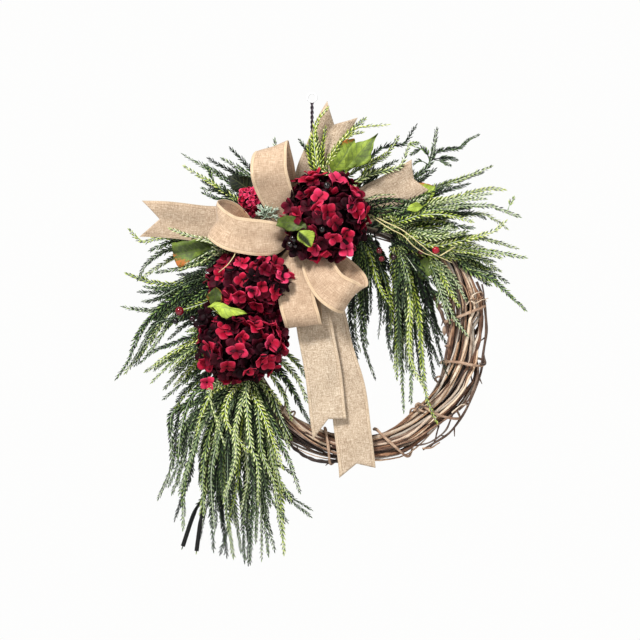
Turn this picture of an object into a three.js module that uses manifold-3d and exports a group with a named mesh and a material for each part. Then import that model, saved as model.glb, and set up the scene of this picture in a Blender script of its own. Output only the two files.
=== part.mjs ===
// Christmas wreath: a grapevine ring carrying cedar sprays, three hydrangea heads and a burlap bow.
// Millimetres, +Z up, the front faces -Y, and the origin is where the hanger's eye hangs on its nail.
import * as THREE from 'three';
import { mergeVertices } from 'three/addons/utils/BufferGeometryUtils.js';
import Module from 'manifold-3d';

const wasm = await Module();
wasm.setup();

// Ring of wound vines: an 18 inch wreath form, fatter on its right
const RING_CENTRE = new THREE.Vector3(80, 0, -425);
const RING_OUTER_RADIUS = 227.5;
const RING_HALF_WIDTH = 24;
const RING_RIGHT_SWELL = 11;
const RING_HALF_DEPTH = 25;
const VINE_RADIUS = 4.7;
const VINE_STEPS_PER_TURN = 18;
const TENDRIL_RADIUS = 2.4;
const STRAY_VINE_RADIUS = 2.8;
const VINE_UNEVENNESS = 0.07;

// Hanger of twisted wire
const EYE_RADIUS = 8;
const EYE_WIRE = 1.5;
const HANGER_WIRE = 1.7;
const HANGER_TWIST_LENGTH = 48;
const BOW_WIRE = 1.1;
const WIRE_LOOP_STEPS = 12;

// Bow of 2.5 inch ribbon
const RIBBON_THICKNESS = 1.2;
const NOTCH_DEPTH = 27;
const KNOT_CENTRE = new THREE.Vector3(-21, -42, -261);
const KNOT_SIZE = new THREE.Vector3(13, 14, 16);

// Sprays
const STEM_RADIUS = 1.7;
const STEM_TAPER = 0.5;
const NEEDLE_TAPER = 0.45;
const NEEDLE_HEIGHT = 7.5;
const NEEDLE_LEAN = 2.8;
const WHORL_SPACING = 48;
const STEM_PITCH = 3.8;
const HUB_RADIUS = 6;

// Blooms and leaves
const BLOOM_BACK = -47;
const BLOOM_CORE_SHARE = 0.9;
const BLOOM_STEM_RADIUS = 4.5;
const BLOOM_STEM_FOOT = -8;
const FLORET_SEAT_SHARE = 0.93;
const FLORET_ROOT = 14;
const PETALS = 4;
const STALK_RADIUS = 1.3;
const LEAF_THICKNESS = 0.7;
const BERRY_WIRE = 1.2;
const STRAW_RADIUS = 1.6;
const STRAW_TAPER = 0.9;

// Clearance between neighbours, and the finest detail kept where two cuts meet
const GAP = 0.35;
const SMOOTHING = 0.05;

const VINE = { color: 0x7a5236, roughness: 0.85 };
const VINE_DARK = { color: 0x5b3d2b, roughness: 0.85 };
const WIRE = { color: 0x4b4048, roughness: 0.5, metalness: 0.4 };
const BURLAP = { color: 0xcfa981, roughness: 0.95 };
const BURGUNDY = { color: 0x8c1230, roughness: 0.7 };
const PINK = { color: 0xb03050, roughness: 0.7 };
const GREEN_DARK = { color: 0x2f4a33, roughness: 0.75 };
const GREEN_MID = { color: 0x55703a, roughness: 0.75 };
const GREEN_LIGHT = { color: 0x93a94f, roughness: 0.75 };
const FROSTED = { color: 0xa9bfa6, roughness: 0.8 };
const LEAF_GREEN = { color: 0x7fa32f, roughness: 0.6 };
const LEAF_DARK = { color: 0x3f5a26, roughness: 0.6 };
const BERRY_RED = { color: 0xa01228, roughness: 0.25 };
const BERRY_DARK = { color: 0x2a1018, roughness: 0.25 };
const STRAW = { color: 0xd9c08c, roughness: 0.8 };

function vector(x, y, z) {
  return new THREE.Vector3(x, y, z);
}

// Solids from meshes
function solidFromArrays(positions, indices) {
  const solid = {
    numProp: 3,
    vertProperties: new Float32Array(positions),
    triVerts: new Uint32Array(indices),
  };
  const made = new wasm.Manifold(new wasm.Mesh(solid));
  if (made.volume() > 0) return made;
  const flipped = indices.slice();
  for (let i = 0; i < flipped.length; i += 3) {
    flipped[i] = indices[i + 1];
    flipped[i + 1] = indices[i];
  }
  solid.triVerts = new Uint32Array(flipped);
  return new wasm.Manifold(new wasm.Mesh(solid));
}

function solidFromGeometry(geometry) {
  geometry.deleteAttribute('normal');
  geometry.deleteAttribute('uv');
  const merged = mergeVertices(geometry, 0.001);
  return solidFromArrays(Array.from(merged.attributes.position.array), Array.from(merged.index.array));
}

function largestBody(solid) {
  const bodies = solid.decompose();
  return bodies.reduce((best, body) => (body.volume() > best.volume() ? body : best));
}

// A skin over rings of points with equal counts, closed round or capped at both ends
function loft(rings, closed = false) {
  const sides = rings[0].length;
  const positions = rings.flat().flatMap((point) => [point.x, point.y, point.z]);
  const indices = [];
  const spans = closed ? rings.length : rings.length - 1;
  for (let i = 0; i < spans; i += 1) {
    const here = i * sides;
    const next = ((i + 1) % rings.length) * sides;
    for (let j = 0; j < sides; j += 1) {
      const k = (j + 1) % sides;
      indices.push(here + j, here + k, next + k, here + j, next + k, next + j);
    }
  }
  if (!closed) {
    const last = (rings.length - 1) * sides;
    for (let j = 1; j < sides - 1; j += 1) {
      indices.push(0, j + 1, j, last, last + j, last + j + 1);
    }
  }
  return solidFromArrays(positions, indices);
}

// Tangent and two steady cross directions at each point of a path
function framesAlong(points, startNormal) {
  let normal = startNormal.clone();
  return points.map((point, i) => {
    const before = points[Math.max(i - 1, 0)];
    const after = points[Math.min(i + 1, points.length - 1)];
    const tangent = after.clone().sub(before).normalize();
    normal = normal.clone().addScaledVector(tangent, -normal.dot(tangent)).normalize();
    return { point, tangent, normal, side: tangent.clone().cross(normal) };
  });
}

function smoothPath(points, steps) {
  return new THREE.CatmullRomCurve3(points, false, 'centripetal').getSpacedPoints(steps);
}

function tube(points, radiusAt, sides, startNormal = vector(0, 1, 0.01)) {
  const frames = framesAlong(points, startNormal);
  const rings = frames.map(({ point, normal, side }, i) => {
    const radius = radiusAt(i / (frames.length - 1));
    return Array.from({ length: sides }, (_, j) => {
      const angle = (2 * Math.PI * j) / sides;
      return point.clone()
        .addScaledVector(normal, radius * Math.cos(angle))
        .addScaledVector(side, radius * Math.sin(angle));
    });
  });
  return loft(rings);
}

function ball(centre, size, detail = 1) {
  const geometry = new THREE.OctahedronGeometry(1, detail);
  geometry.scale(size.x, size.y, size.z);
  geometry.translate(centre.x, centre.y, centre.z);
  return solidFromGeometry(geometry);
}

// Placing: each piece is cut clear of those before it, and keeps its own room from those after it
const wreath = new THREE.Group();
const rooms = [];

function boxesMeet(a, b) {
  const first = a.boundingBox();
  const second = b.boundingBox();
  return [0, 1, 2].every((k) => first.min[k] <= second.max[k] && second.min[k] <= first.max[k]);
}

function place(name, finish, build) {
  let solid = build(0);
  for (const room of rooms) {
    if (boxesMeet(solid, room)) solid = solid.subtract(room);
  }
  solid = largestBody(solid).simplify(SMOOTHING);
  rooms.push(build(GAP));
  const { vertProperties, triVerts } = solid.getMesh();
  const geometry = new THREE.BufferGeometry();
  geometry.setAttribute('position', new THREE.BufferAttribute(vertProperties, 3));
  geometry.setIndex(new THREE.BufferAttribute(triVerts, 1));
  geometry.computeVertexNormals();
  const mesh = new THREE.Mesh(geometry, new THREE.MeshStandardMaterial({ metalness: 0, ...finish }));
  mesh.name = name;
  wreath.add(mesh);
}

// The vine ring's section at an angle counted from its right side
function ringShape(angle) {
  const swell = ((1 + Math.cos(angle)) / 2) ** 2;
  const half = RING_HALF_WIDTH + RING_RIGHT_SWELL * swell;
  return { middle: RING_OUTER_RADIUS - half, half };
}

function ringPoint(angle, radius, depth) {
  return vector(
    RING_CENTRE.x + radius * Math.cos(angle),
    RING_CENTRE.y + depth,
    RING_CENTRE.z + radius * Math.sin(angle),
  );
}

// One vine wound several times round the ring, twisting about the bundle's middle as it goes
function woundVine({ turns, twist, start, layer, sides }, grow) {
  const steps = turns * VINE_STEPS_PER_TURN;
  const rings = Array.from({ length: steps }, (_, i) => {
    const angle = (2 * Math.PI * turns * i) / steps;
    const { middle, half } = ringShape(angle);
    const wind = start + twist * angle;
    const across = middle + layer * (half - VINE_RADIUS) * Math.cos(wind);
    const depth = layer * (RING_HALF_DEPTH - VINE_RADIUS) * Math.sin(wind);
    const radius = VINE_RADIUS * (1 + VINE_UNEVENNESS * Math.sin(3.7 * angle + start)) + grow;
    return Array.from({ length: sides }, (_unused, j) => {
      const around = (2 * Math.PI * j) / sides;
      return ringPoint(angle, across + radius * Math.cos(around), depth + radius * Math.sin(around));
    });
  });
  return loft(rings, true);
}

const WOUND_VINES = {
  vine_outer_first: { turns: 5, twist: 6 / 5, start: 0, layer: 1, sides: 5 },
  vine_outer_second: { turns: 5, twist: 6 / 5, start: Math.PI / 5, layer: 1, sides: 5 },
  vine_core: { turns: 4, twist: 5 / 4, start: 0.4, layer: 0.47, sides: 4 },
};
for (const [name, vine] of Object.entries(WOUND_VINES)) {
  place(name, name === 'vine_core' ? VINE_DARK : VINE, (grow) => woundVine(vine, grow));
}

// Loose vines that stray from the bundle: start and end angle, then radius and depth at each quarter
const STRAY_VINES = {
  vine_stray_right: { from: 0.42, to: -1.05, radii: [230, 237, 233, 231, 233, 236, 229], depth: -6 },
  vine_stray_lower_left: { from: -1.7, to: -2.16, radii: [224, 233, 237, 233, 224], depth: -4 },
  vine_stray_inner: { from: 0.62, to: -0.02, radii: [161, 152, 149, 151, 154], depth: -8 },
};
for (const [name, { from, to, radii, depth }] of Object.entries(STRAY_VINES)) {
  place(name, VINE_DARK, (grow) => {
    const angleAt = (i) => from + ((to - from) * i) / (radii.length - 1);
    const corners = radii.map((radius, i) => ringPoint(angleAt(i), radius, depth));
    return tube(smoothPath(corners, 9), (t) => STRAY_VINE_RADIUS * (1 - 0.25 * t) + grow, 4);
  });
}

// Tendrils that bind the bundle: an open turn and a bit round it, with a slant
const TENDRILS = {
  tendril_right_upper: { angle: 0.248, slant: 0.116, start: 2.9, turns: 1.2 },
  tendril_right: { angle: -0.213, slant: 0.101, start: 3.1, turns: 1.1 },
  tendril_right_lower: { angle: -0.68, slant: 0.211, start: 2.8, turns: 1.15 },
  tendril_bottom: { angle: -1.136, slant: 0.268, start: 2.9, turns: 1.2 },
  tendril_bottom_left: { angle: -1.752, slant: 0.156, start: 3.1, turns: 1.1 },
  tendril_left: { angle: -2.306, slant: 0.057, start: 3.1, turns: 1.1 },
};
const TENDRIL_STEPS = 10;
function wrapPoint(angle, wind, clear) {
  const { middle, half } = ringShape(angle);
  const radius = middle + (half + clear) * Math.cos(wind);
  return ringPoint(angle, radius, (RING_HALF_DEPTH + clear) * Math.sin(wind));
}
for (const [name, { angle, slant, start, turns }] of Object.entries(TENDRILS)) {
  place(name, VINE, (grow) => {
    const points = Array.from({ length: TENDRIL_STEPS + 1 }, (_, i) => {
      const t = i / TENDRIL_STEPS;
      const lift = 1.3 + 9 * Math.max(0, t - 0.88);
      return wrapPoint(angle + slant * (2 * t - 1), start + 2 * Math.PI * turns * t, TENDRIL_RADIUS + lift);
    });
    return tube(points, (t) => TENDRIL_RADIUS * (1 - 0.45 * t) + grow, 4, vector(1, 0, 0));
  });
}

// A closed loop of wire round the bundle
function wireLoop(angle, wire, grow) {
  const rings = Array.from({ length: WIRE_LOOP_STEPS }, (_, i) => {
    const wind = (2 * Math.PI * i) / WIRE_LOOP_STEPS;
    return [[-1, -1], [1, -1], [1, 1], [-1, 1]].map(([along, out]) => {
      const turn = (along * (wire + grow)) / RING_OUTER_RADIUS;
      return wrapPoint(angle + turn, wind, wire + 1 + out * (wire + grow));
    });
  });
  return loft(rings, true);
}

// Hanger: an eye at the top, a twisted pair of wires and a loop round the bundle
const HANGER_ANGLE = Math.acos(-RING_CENTRE.x / RING_OUTER_RADIUS);
const HANGER_FOOT = RING_CENTRE.z + RING_OUTER_RADIUS * Math.sin(HANGER_ANGLE);
place('hanger_wire', WIRE, (grow) => {
  const eye = new THREE.TorusGeometry(EYE_RADIUS, EYE_WIRE + grow, 4, 12);
  eye.rotateX(Math.PI / 2);
  eye.translate(0, 0, -EYE_RADIUS);
  const top = -2 * EYE_RADIUS - 1;
  const steps = 16;
  const rings = Array.from({ length: steps + 1 }, (_, i) => {
    const z = top + ((HANGER_FOOT + 2 - top) * i) / steps;
    const turn = (2 * Math.PI * (top - z)) / HANGER_TWIST_LENGTH;
    return [[2, 1], [-2, 1], [-2, -1], [2, -1]].map(([a, b]) => {
      const long = Math.sign(a) * (HANGER_WIRE * 1.5 + grow);
      const short = b * (HANGER_WIRE * 0.8 + grow);
      return vector(
        long * Math.cos(turn) - short * Math.sin(turn),
        long * Math.sin(turn) + short * Math.cos(turn),
        z,
      );
    });
  });
  return solidFromGeometry(eye).add(loft(rings)).add(wireLoop(HANGER_ANGLE, HANGER_WIRE, grow));
});

// Bow
const KNOT_ANGLE = Math.atan2(KNOT_CENTRE.z - RING_CENTRE.z, KNOT_CENTRE.x - RING_CENTRE.x);
place('bow_wire', WIRE, (grow) => wireLoop(KNOT_ANGLE, BOW_WIRE, grow));

// A ribbon through stations of x, depth, z, width and the lean of the width from level, in degrees
const STATION_SPACING = 40;
function ribbon(stations, steps, columns, notch, grow) {
  const corners = stations.map(([x, y, z]) => vector(x, y, z));
  const curve = new THREE.CatmullRomCurve3(corners, false, 'centripetal');
  const widths = stations.map(([, , , width, lean], i) => vector(width, lean, i * STATION_SPACING));
  const sizes = smoothPath(widths, steps * 4);
  const sizeAt = (t) => {
    const wanted = t * (stations.length - 1) * STATION_SPACING;
    const miss = (size) => Math.abs(size.z - wanted);
    return sizes.reduce((best, size) => (miss(size) < miss(best) ? size : best));
  };
  const across = Array.from({ length: columns + 1 }, (_, j) => (2 * j) / columns - 1);
  const rings = Array.from({ length: steps + 1 }, (_, i) => {
    const u = i / steps;
    const point = curve.getPointAt(u);
    const tangent = curve.getTangentAt(u);
    const size = sizeAt(curve.getUtoTmapping(u));
    const lean = THREE.MathUtils.degToRad(size.y);
    const width = vector(Math.cos(lean), 0, Math.sin(lean));
    width.addScaledVector(tangent, -width.dot(tangent)).normalize();
    const normal = tangent.clone().cross(width);
    const half = size.x / 2 + grow;
    const thick = RIBBON_THICKNESS / 2 + grow;
    const row = (sign) => across.map((a) => point.clone()
      .addScaledVector(width, a * half)
      .addScaledVector(normal, sign * thick)
      .addScaledVector(tangent, i === steps ? notch * (Math.abs(a) - 1) + grow : 0));
    return [...row(1), ...row(-1).reverse()];
  });
  return loft(rings);
}

const BOW_LOOPS = {
  upper: [
    [-35, -45, -256, 20, 5], [-48, -64, -217, 48, 4], [-66, -92, -172, 62, 2], [-75, -108, -140, 63, 10],
    [-77, -102, -116, 63, 22], [-71, -82, -101, 63, 26], [-66, -64, -107, 63, 18], [-60, -54, -138, 61, 4],
    [-47, -46, -200, 48, 0], [-32, -40, -252, 16, 0],
  ],
  left: [
    [-37, -45, -256, 16, 80], [-54, -62, -260, 34, 78], [-72, -80, -259, 56, 86], [-100, -96, -255, 62, 90],
    [-130, -108, -250, 63, 88], [-158, -112, -240, 63, 82], [-176, -98, -220, 63, 77],
    [-168, -82, -213, 63, 77], [-147, -68, -216, 62, 80], [-115, -58, -241, 56, 84],
    [-70, -50, -250, 40, 84], [-38, -40, -257, 16, 80],
  ],
  lowerLeft: [
    [-23, -45, -271, 24, 0], [-27, -56, -292, 52, -2], [-30, -66, -318, 61, 0], [-26, -86, -364, 63, 4],
    [-18, -92, -394, 63, 6], [-14, -78, -410, 63, 6], [-14, -64, -394, 63, 4], [-16, -58, -360, 60, 2],
    [-19, -52, -312, 48, 0], [-23, -40, -273, 18, 0],
  ],
  lowerRight: [
    [-14, -47, -268, 26, 14], [4, -64, -292, 50, 26], [16, -84, -318, 58, 36], [33, -100, -343, 61, 44],
    [54, -104, -357, 63, 48], [70, -90, -360, 63, 50], [70, -74, -343, 63, 50], [52, -64, -320, 60, 44],
    [19, -54, -290, 46, 30], [-12, -40, -268, 18, 10],
  ],
};
const LOOP_STEPS = 15;
place('bow_loops', BURLAP, (grow) => {
  let bow = ball(KNOT_CENTRE, KNOT_SIZE.clone().addScalar(grow));
  for (const stations of Object.values(BOW_LOOPS)) {
    bow = bow.add(ribbon(stations, LOOP_STEPS, 1, 0, grow));
  }
  return bow;
});

const BOW_TAILS = {
  tail_left: [
    [-26, -32, -259, 16, 90], [-74, -34, -247, 46, 92], [-135, -40, -234, 62, 95], [-196, -46, -229, 63, 93],
    [-248, -52, -226, 63, 91], [-298, -60, -222, 63, 90],
  ],
  tail_upper: [
    [-19, -32, -254, 16, -10], [-10, -34, -203, 44, -18], [2, -40, -145, 61, -24], [21, -43, -98, 63, -24],
    [38, -42, -61, 62, -26], [54, -46, -32, 60, -28],
  ],
  tail_right: [
    [-14, -32, -259, 16, -70], [37, -32, -231, 46, -66], [93, -34, -200, 62, -62], [140, -40, -173, 63, -60],
    [168, -46, -158, 63, -61], [189, -52, -146, 60, -62],
  ],
  tail_front: [
    [-18, -38, -271, 18, 0], [-9, -44, -320, 52, 0], [2, -48, -390, 62, 2], [14, -50, -460, 63, 4],
    [24, -48, -530, 63, 6], [33, -46, -604, 62, 12],
  ],
  tail_rear: [
    [-14, -32, -271, 18, 0], [7, -34, -329, 52, 2], [24, -36, -383, 62, 4], [42, -37, -452, 63, 5],
    [61, -37, -523, 64, 4], [72, -38, -592, 64, 2], [79, -40, -672, 64, 8],
  ],
};
for (const [name, stations] of Object.entries(BOW_TAILS)) {
  place(name, BURLAP, (grow) => ribbon(stations, 7, 2, NOTCH_DEPTH, grow));
}

// A petal's outline from one notch to the next: share of its turn, share of the radius, and lift
const PETAL_OUTLINE = [[0, 0.42, -1.5], [0.28, 1, 3.2], [0.72, 1, 3.2]];

// A floret of rounded petals, cupped, on a short cone that sinks into the head
function floret(centre, outward, radius, spin, grow) {
  const seat = new THREE.Quaternion().setFromUnitVectors(vector(0, 0, 1), outward);
  const wide = radius + 3.5 * grow;
  const rim = [];
  for (let petal = 0; petal < PETALS; petal += 1) {
    for (const [turn, reach, lift] of PETAL_OUTLINE) {
      const angle = spin + (2 * Math.PI * (petal + turn)) / PETALS;
      rim.push(vector(wide * reach * Math.cos(angle), wide * reach * Math.sin(angle), lift + 1.3 * grow));
    }
  }
  const ends = [vector(0, 0, 0.6 + grow), vector(0, 0, -FLORET_ROOT - 3 * grow)];
  const points = [...ends, ...rim].map((p) => p.applyQuaternion(seat).add(centre));
  const indices = [];
  rim.forEach((_, i) => {
    const here = i + 2;
    const next = ((i + 1) % rim.length) + 2;
    indices.push(0, here, next, 1, next, here);
  });
  return solidFromArrays(points.flatMap((p) => [p.x, p.y, p.z]), indices);
}

// A head of florets on a domed core, flat at its back, with a stem to the vines
function bloom({ centre, size, florets, radius, stem, spin }, grow) {
  const swell = 1 + (grow * 1.6) / Math.min(size.x, size.y, size.z);
  let head = ball(centre, size.clone().multiplyScalar(BLOOM_CORE_SHARE * swell));
  const golden = Math.PI * (3 - Math.sqrt(5));
  for (let i = 0; i < florets; i += 1) {
    const front = 1 - (i + 0.5) / florets;
    const level = Math.sqrt(1 - front * front);
    const around = i * golden + spin;
    const direction = vector(level * Math.cos(around), -front, level * Math.sin(around));
    const at = centre.clone().add(direction.clone().multiply(size).multiplyScalar(FLORET_SEAT_SHARE));
    const outward = direction.clone().divide(size).normalize();
    head = head.add(floret(at, outward, radius, i * 1.3, grow));
  }
  const back = new THREE.BoxGeometry(400, 100, 400);
  back.translate(centre.x, BLOOM_BACK + grow + 50, centre.z);
  head = head.subtract(solidFromGeometry(back));
  const foot = vector(stem.x, BLOOM_STEM_FOOT, stem.z);
  const neck = vector(stem.x, BLOOM_BACK - 12, stem.z);
  return head.add(tube([neck, foot], () => BLOOM_STEM_RADIUS + grow, 6, vector(1, 0, 0)));
}

const BLOOMS = {
  bloom_lower: {
    centre: vector(-121, -68, -443), size: vector(78, 66, 60), florets: 12, radius: 27, spin: 0.3,
    stem: vector(-114, 0, -440),
  },
  bloom_upper: {
    centre: vector(24, -68, -217), size: vector(74, 64, 73), florets: 12, radius: 27, spin: 1.1,
    stem: vector(42, 0, -234),
  },
  bloom_middle: {
    centre: vector(-108, -64, -334), size: vector(71, 58, 50), florets: 11, radius: 24, spin: 2.2,
    stem: vector(-98, 0, -345),
  },
};
for (const [name, head] of Object.entries(BLOOMS)) {
  place(name, BURGUNDY, (grow) => bloom(head, grow));
}

// Share of a leaf's width at even steps from its base to its tip
const LEAF_WIDTHS = [0.1, 0.81, 1, 0.734, 0.04];

// A leaf: an arched, folded blade, and a stalk down to its seat
function leaf({ seat, base, tip, width, arch, fold, face }, grow) {
  const along = tip.clone().sub(base);
  const facing = face.clone().addScaledVector(along, -face.dot(along) / along.lengthSq()).normalize();
  const side = along.clone().normalize().cross(facing);
  const ring = (rib, reach, lift, half) => {
    const edge = (sign, thick) => rib.clone()
      .addScaledVector(side, sign * (reach + grow))
      .addScaledVector(facing, lift + thick);
    const spine = (thick) => rib.clone().addScaledVector(facing, thick);
    return [edge(-1, half), spine(half), edge(1, half), edge(1, -half), spine(-half), edge(-1, -half)];
  };
  const blade = LEAF_WIDTHS.map((share, i) => {
    const t = i / (LEAF_WIDTHS.length - 1);
    const rib = base.clone().addScaledVector(along, t).addScaledVector(facing, arch * Math.sin(Math.PI * t));
    return ring(rib, (width / 2) * share, fold * share, LEAF_THICKNESS / 2 + grow);
  });
  return loft([ring(seat, STALK_RADIUS, 0, STALK_RADIUS + grow), ...blade]);
}

const TOWARD_VIEWER = vector(0, -1, 0);
const LEAVES = {
  leaf_by_knot_dark: {
    finish: LEAF_DARK, seat: vector(6, -96, -226),
    base: vector(-8, -118, -234), tip: vector(-60, -98, -232),
    width: 25, arch: 3, fold: 3, face: TOWARD_VIEWER,
  },
  leaf_by_knot_bright: {
    finish: LEAF_GREEN, seat: vector(14, -104, -238),
    base: vector(2, -118, -246), tip: vector(-24, -112, -270),
    width: 24, arch: 3, fold: 3, face: TOWARD_VIEWER,
  },
  leaf_between_blooms: {
    finish: LEAF_GREEN, seat: vector(-137, -88, -404),
    base: vector(-166, -122, -378), tip: vector(-112, -142, -388),
    width: 32, arch: 4, fold: 3, face: vector(0, -1, 0.3),
  },
  leaf_between_blooms_dark: {
    finish: LEAF_DARK, seat: vector(-139, -80, -352),
    base: vector(-172, -102, -372), tip: vector(-166, -114, -342),
    width: 26, arch: 3, fold: 2, face: TOWARD_VIEWER,
  },
  leaf_left: {
    finish: LEAF_GREEN, seat: vector(-84, -14, -296),
    base: vector(-160, -56, -274), tip: vector(-243, -66, -288),
    width: 46, arch: 5, fold: 4, face: TOWARD_VIEWER,
  },
  leaf_top_left: {
    finish: LEAF_GREEN, seat: vector(28, -66, -154),
    base: vector(36, -60, -136), tip: vector(72, -62, -84),
    width: 34, arch: 4, fold: 3, face: TOWARD_VIEWER,
  },
  leaf_top_right: {
    finish: LEAF_GREEN, seat: vector(43, -70, -174),
    base: vector(60, -70, -142), tip: vector(114, -78, -76),
    width: 44, arch: 5, fold: 4, face: TOWARD_VIEWER,
  },
  leaf_right: {
    finish: LEAF_GREEN, seat: vector(168, -8, -218),
    base: vector(162, -26, -194), tip: vector(216, -32, -166),
    width: 38, arch: 3, fold: 3, face: TOWARD_VIEWER,
  },
  leaf_hanging: {
    finish: LEAF_DARK, seat: vector(212, -14, -282),
    base: vector(204, -32, -290), tip: vector(188, -34, -330),
    width: 26, arch: 3, fold: 3, face: TOWARD_VIEWER,
  },
};
for (const [name, blade] of Object.entries(LEAVES)) {
  place(name, blade.finish, (grow) => leaf(blade, grow));
}

// A frond: a slim three-sided stem whose sides are raised into needles that lean toward the tip
function frond(route, grow) {
  const path = new THREE.CatmullRomCurve3(route, false, 'centripetal');
  const whorls = Math.min(Math.max(Math.round(path.getLength() / WHORL_SPACING), 2), 8);
  const shareAt = (i) => Math.min(i / (whorls - 0.6), 1);
  const places = Array.from({ length: whorls + 1 }, (_, i) => path.getPointAt(shareAt(i)));
  const frames = framesAlong(places, vector(0.3, 1, 0.2));
  const positions = [];
  const indices = [];
  const corner = ({ point, normal, side }, radius, j) => {
    const angle = (2 * Math.PI * j) / 3;
    return point.clone()
      .addScaledVector(normal, radius * Math.cos(angle))
      .addScaledVector(side, radius * Math.sin(angle));
  };
  const push = (p) => positions.push(p.x, p.y, p.z) / 3 - 1;
  for (let i = 0; i < whorls; i += 1) {
    for (let j = 0; j < 3; j += 1) {
      push(corner(frames[i], STEM_RADIUS * (1 - (STEM_TAPER * i) / whorls) + grow, j));
    }
  }
  const tip = push(places[whorls].clone().addScaledVector(frames[whorls].tangent, grow));
  for (let i = 0; i < whorls - 1; i += 1) {
    const height = NEEDLE_HEIGHT * (1 - (NEEDLE_TAPER * i) / whorls) + grow;
    for (let j = 0; j < 3; j += 1) {
      const k = (j + 1) % 3;
      const [a, b, c, d] = [3 * i + j, 3 * i + k, 3 * i + 3 + k, 3 * i + 3 + j];
      if (i === 0) {
        indices.push(a, b, c, a, c, d);
      } else {
        const middle = frames[i].point.clone().lerp(frames[i + 1].point, 0.5);
        const outward = corner({ ...frames[i], point: vector(0, 0, 0) }, 1, j + 0.5);
        const ahead = frames[i].point.distanceTo(frames[i + 1].point) / 2 + NEEDLE_LEAN + grow;
        const point = middle.addScaledVector(outward, height).addScaledVector(frames[i].tangent, ahead);
        const apex = push(point);
        indices.push(a, b, apex, b, c, apex, c, d, apex, d, a, apex);
      }
    }
  }
  const last = 3 * (whorls - 1);
  for (let j = 0; j < 3; j += 1) indices.push(last + j, last + ((j + 1) % 3), tip);
  indices.push(2, 1, 0);
  return solidFromArrays(positions, indices);
}

// A spray: fronds side by side from one wired hub, each given its depth and then points of x and z.
// Neighbours lie at different depths, so that they pass clear of each other. A fork grows from a frond.
function spray({ root, fronds, forks = [] }, grow) {
  const seat = vector(...root);
  const angle = Math.atan2(seat.z - RING_CENTRE.z, seat.x - RING_CENTRE.x);
  const alongRing = vector(-Math.sin(angle), 0, Math.cos(angle));
  const [first, last] = [fronds[0].at(-1), fronds.at(-1).at(-1)];
  if (vector(first[0] - last[0], 0, first[1] - last[1]).dot(alongRing) > 0) alongRing.negate();
  const hub = new THREE.OctahedronGeometry(1, 0);
  hub.scale((STEM_PITCH * fronds.length) / 2 + 9 + grow, HUB_RADIUS + grow, HUB_RADIUS + grow);
  hub.rotateY(-Math.atan2(alongRing.z, alongRing.x));
  hub.translate(seat.x, seat.y, seat.z);
  let made = solidFromGeometry(hub);
  fronds.forEach(([depth, ...points], i) => {
    const start = seat.clone().addScaledVector(alongRing, STEM_PITCH * (i + 0.5 - fronds.length / 2));
    const route = points.map(([x, z], k) => vector(x, k === 0 ? (depth * 2 + seat.y) / 3 : depth, z));
    made = made.add(frond([start, ...route], grow));
  });
  forks.forEach(([parent, ...points]) => {
    const route = points.map(([x, z]) => vector(x, fronds[parent][0], z));
    made = made.add(frond(route, grow)).add(ball(route[0], vector(4.5, 4.5, 4.5).addScalar(grow), 0));
  });
  return made;
}

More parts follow.
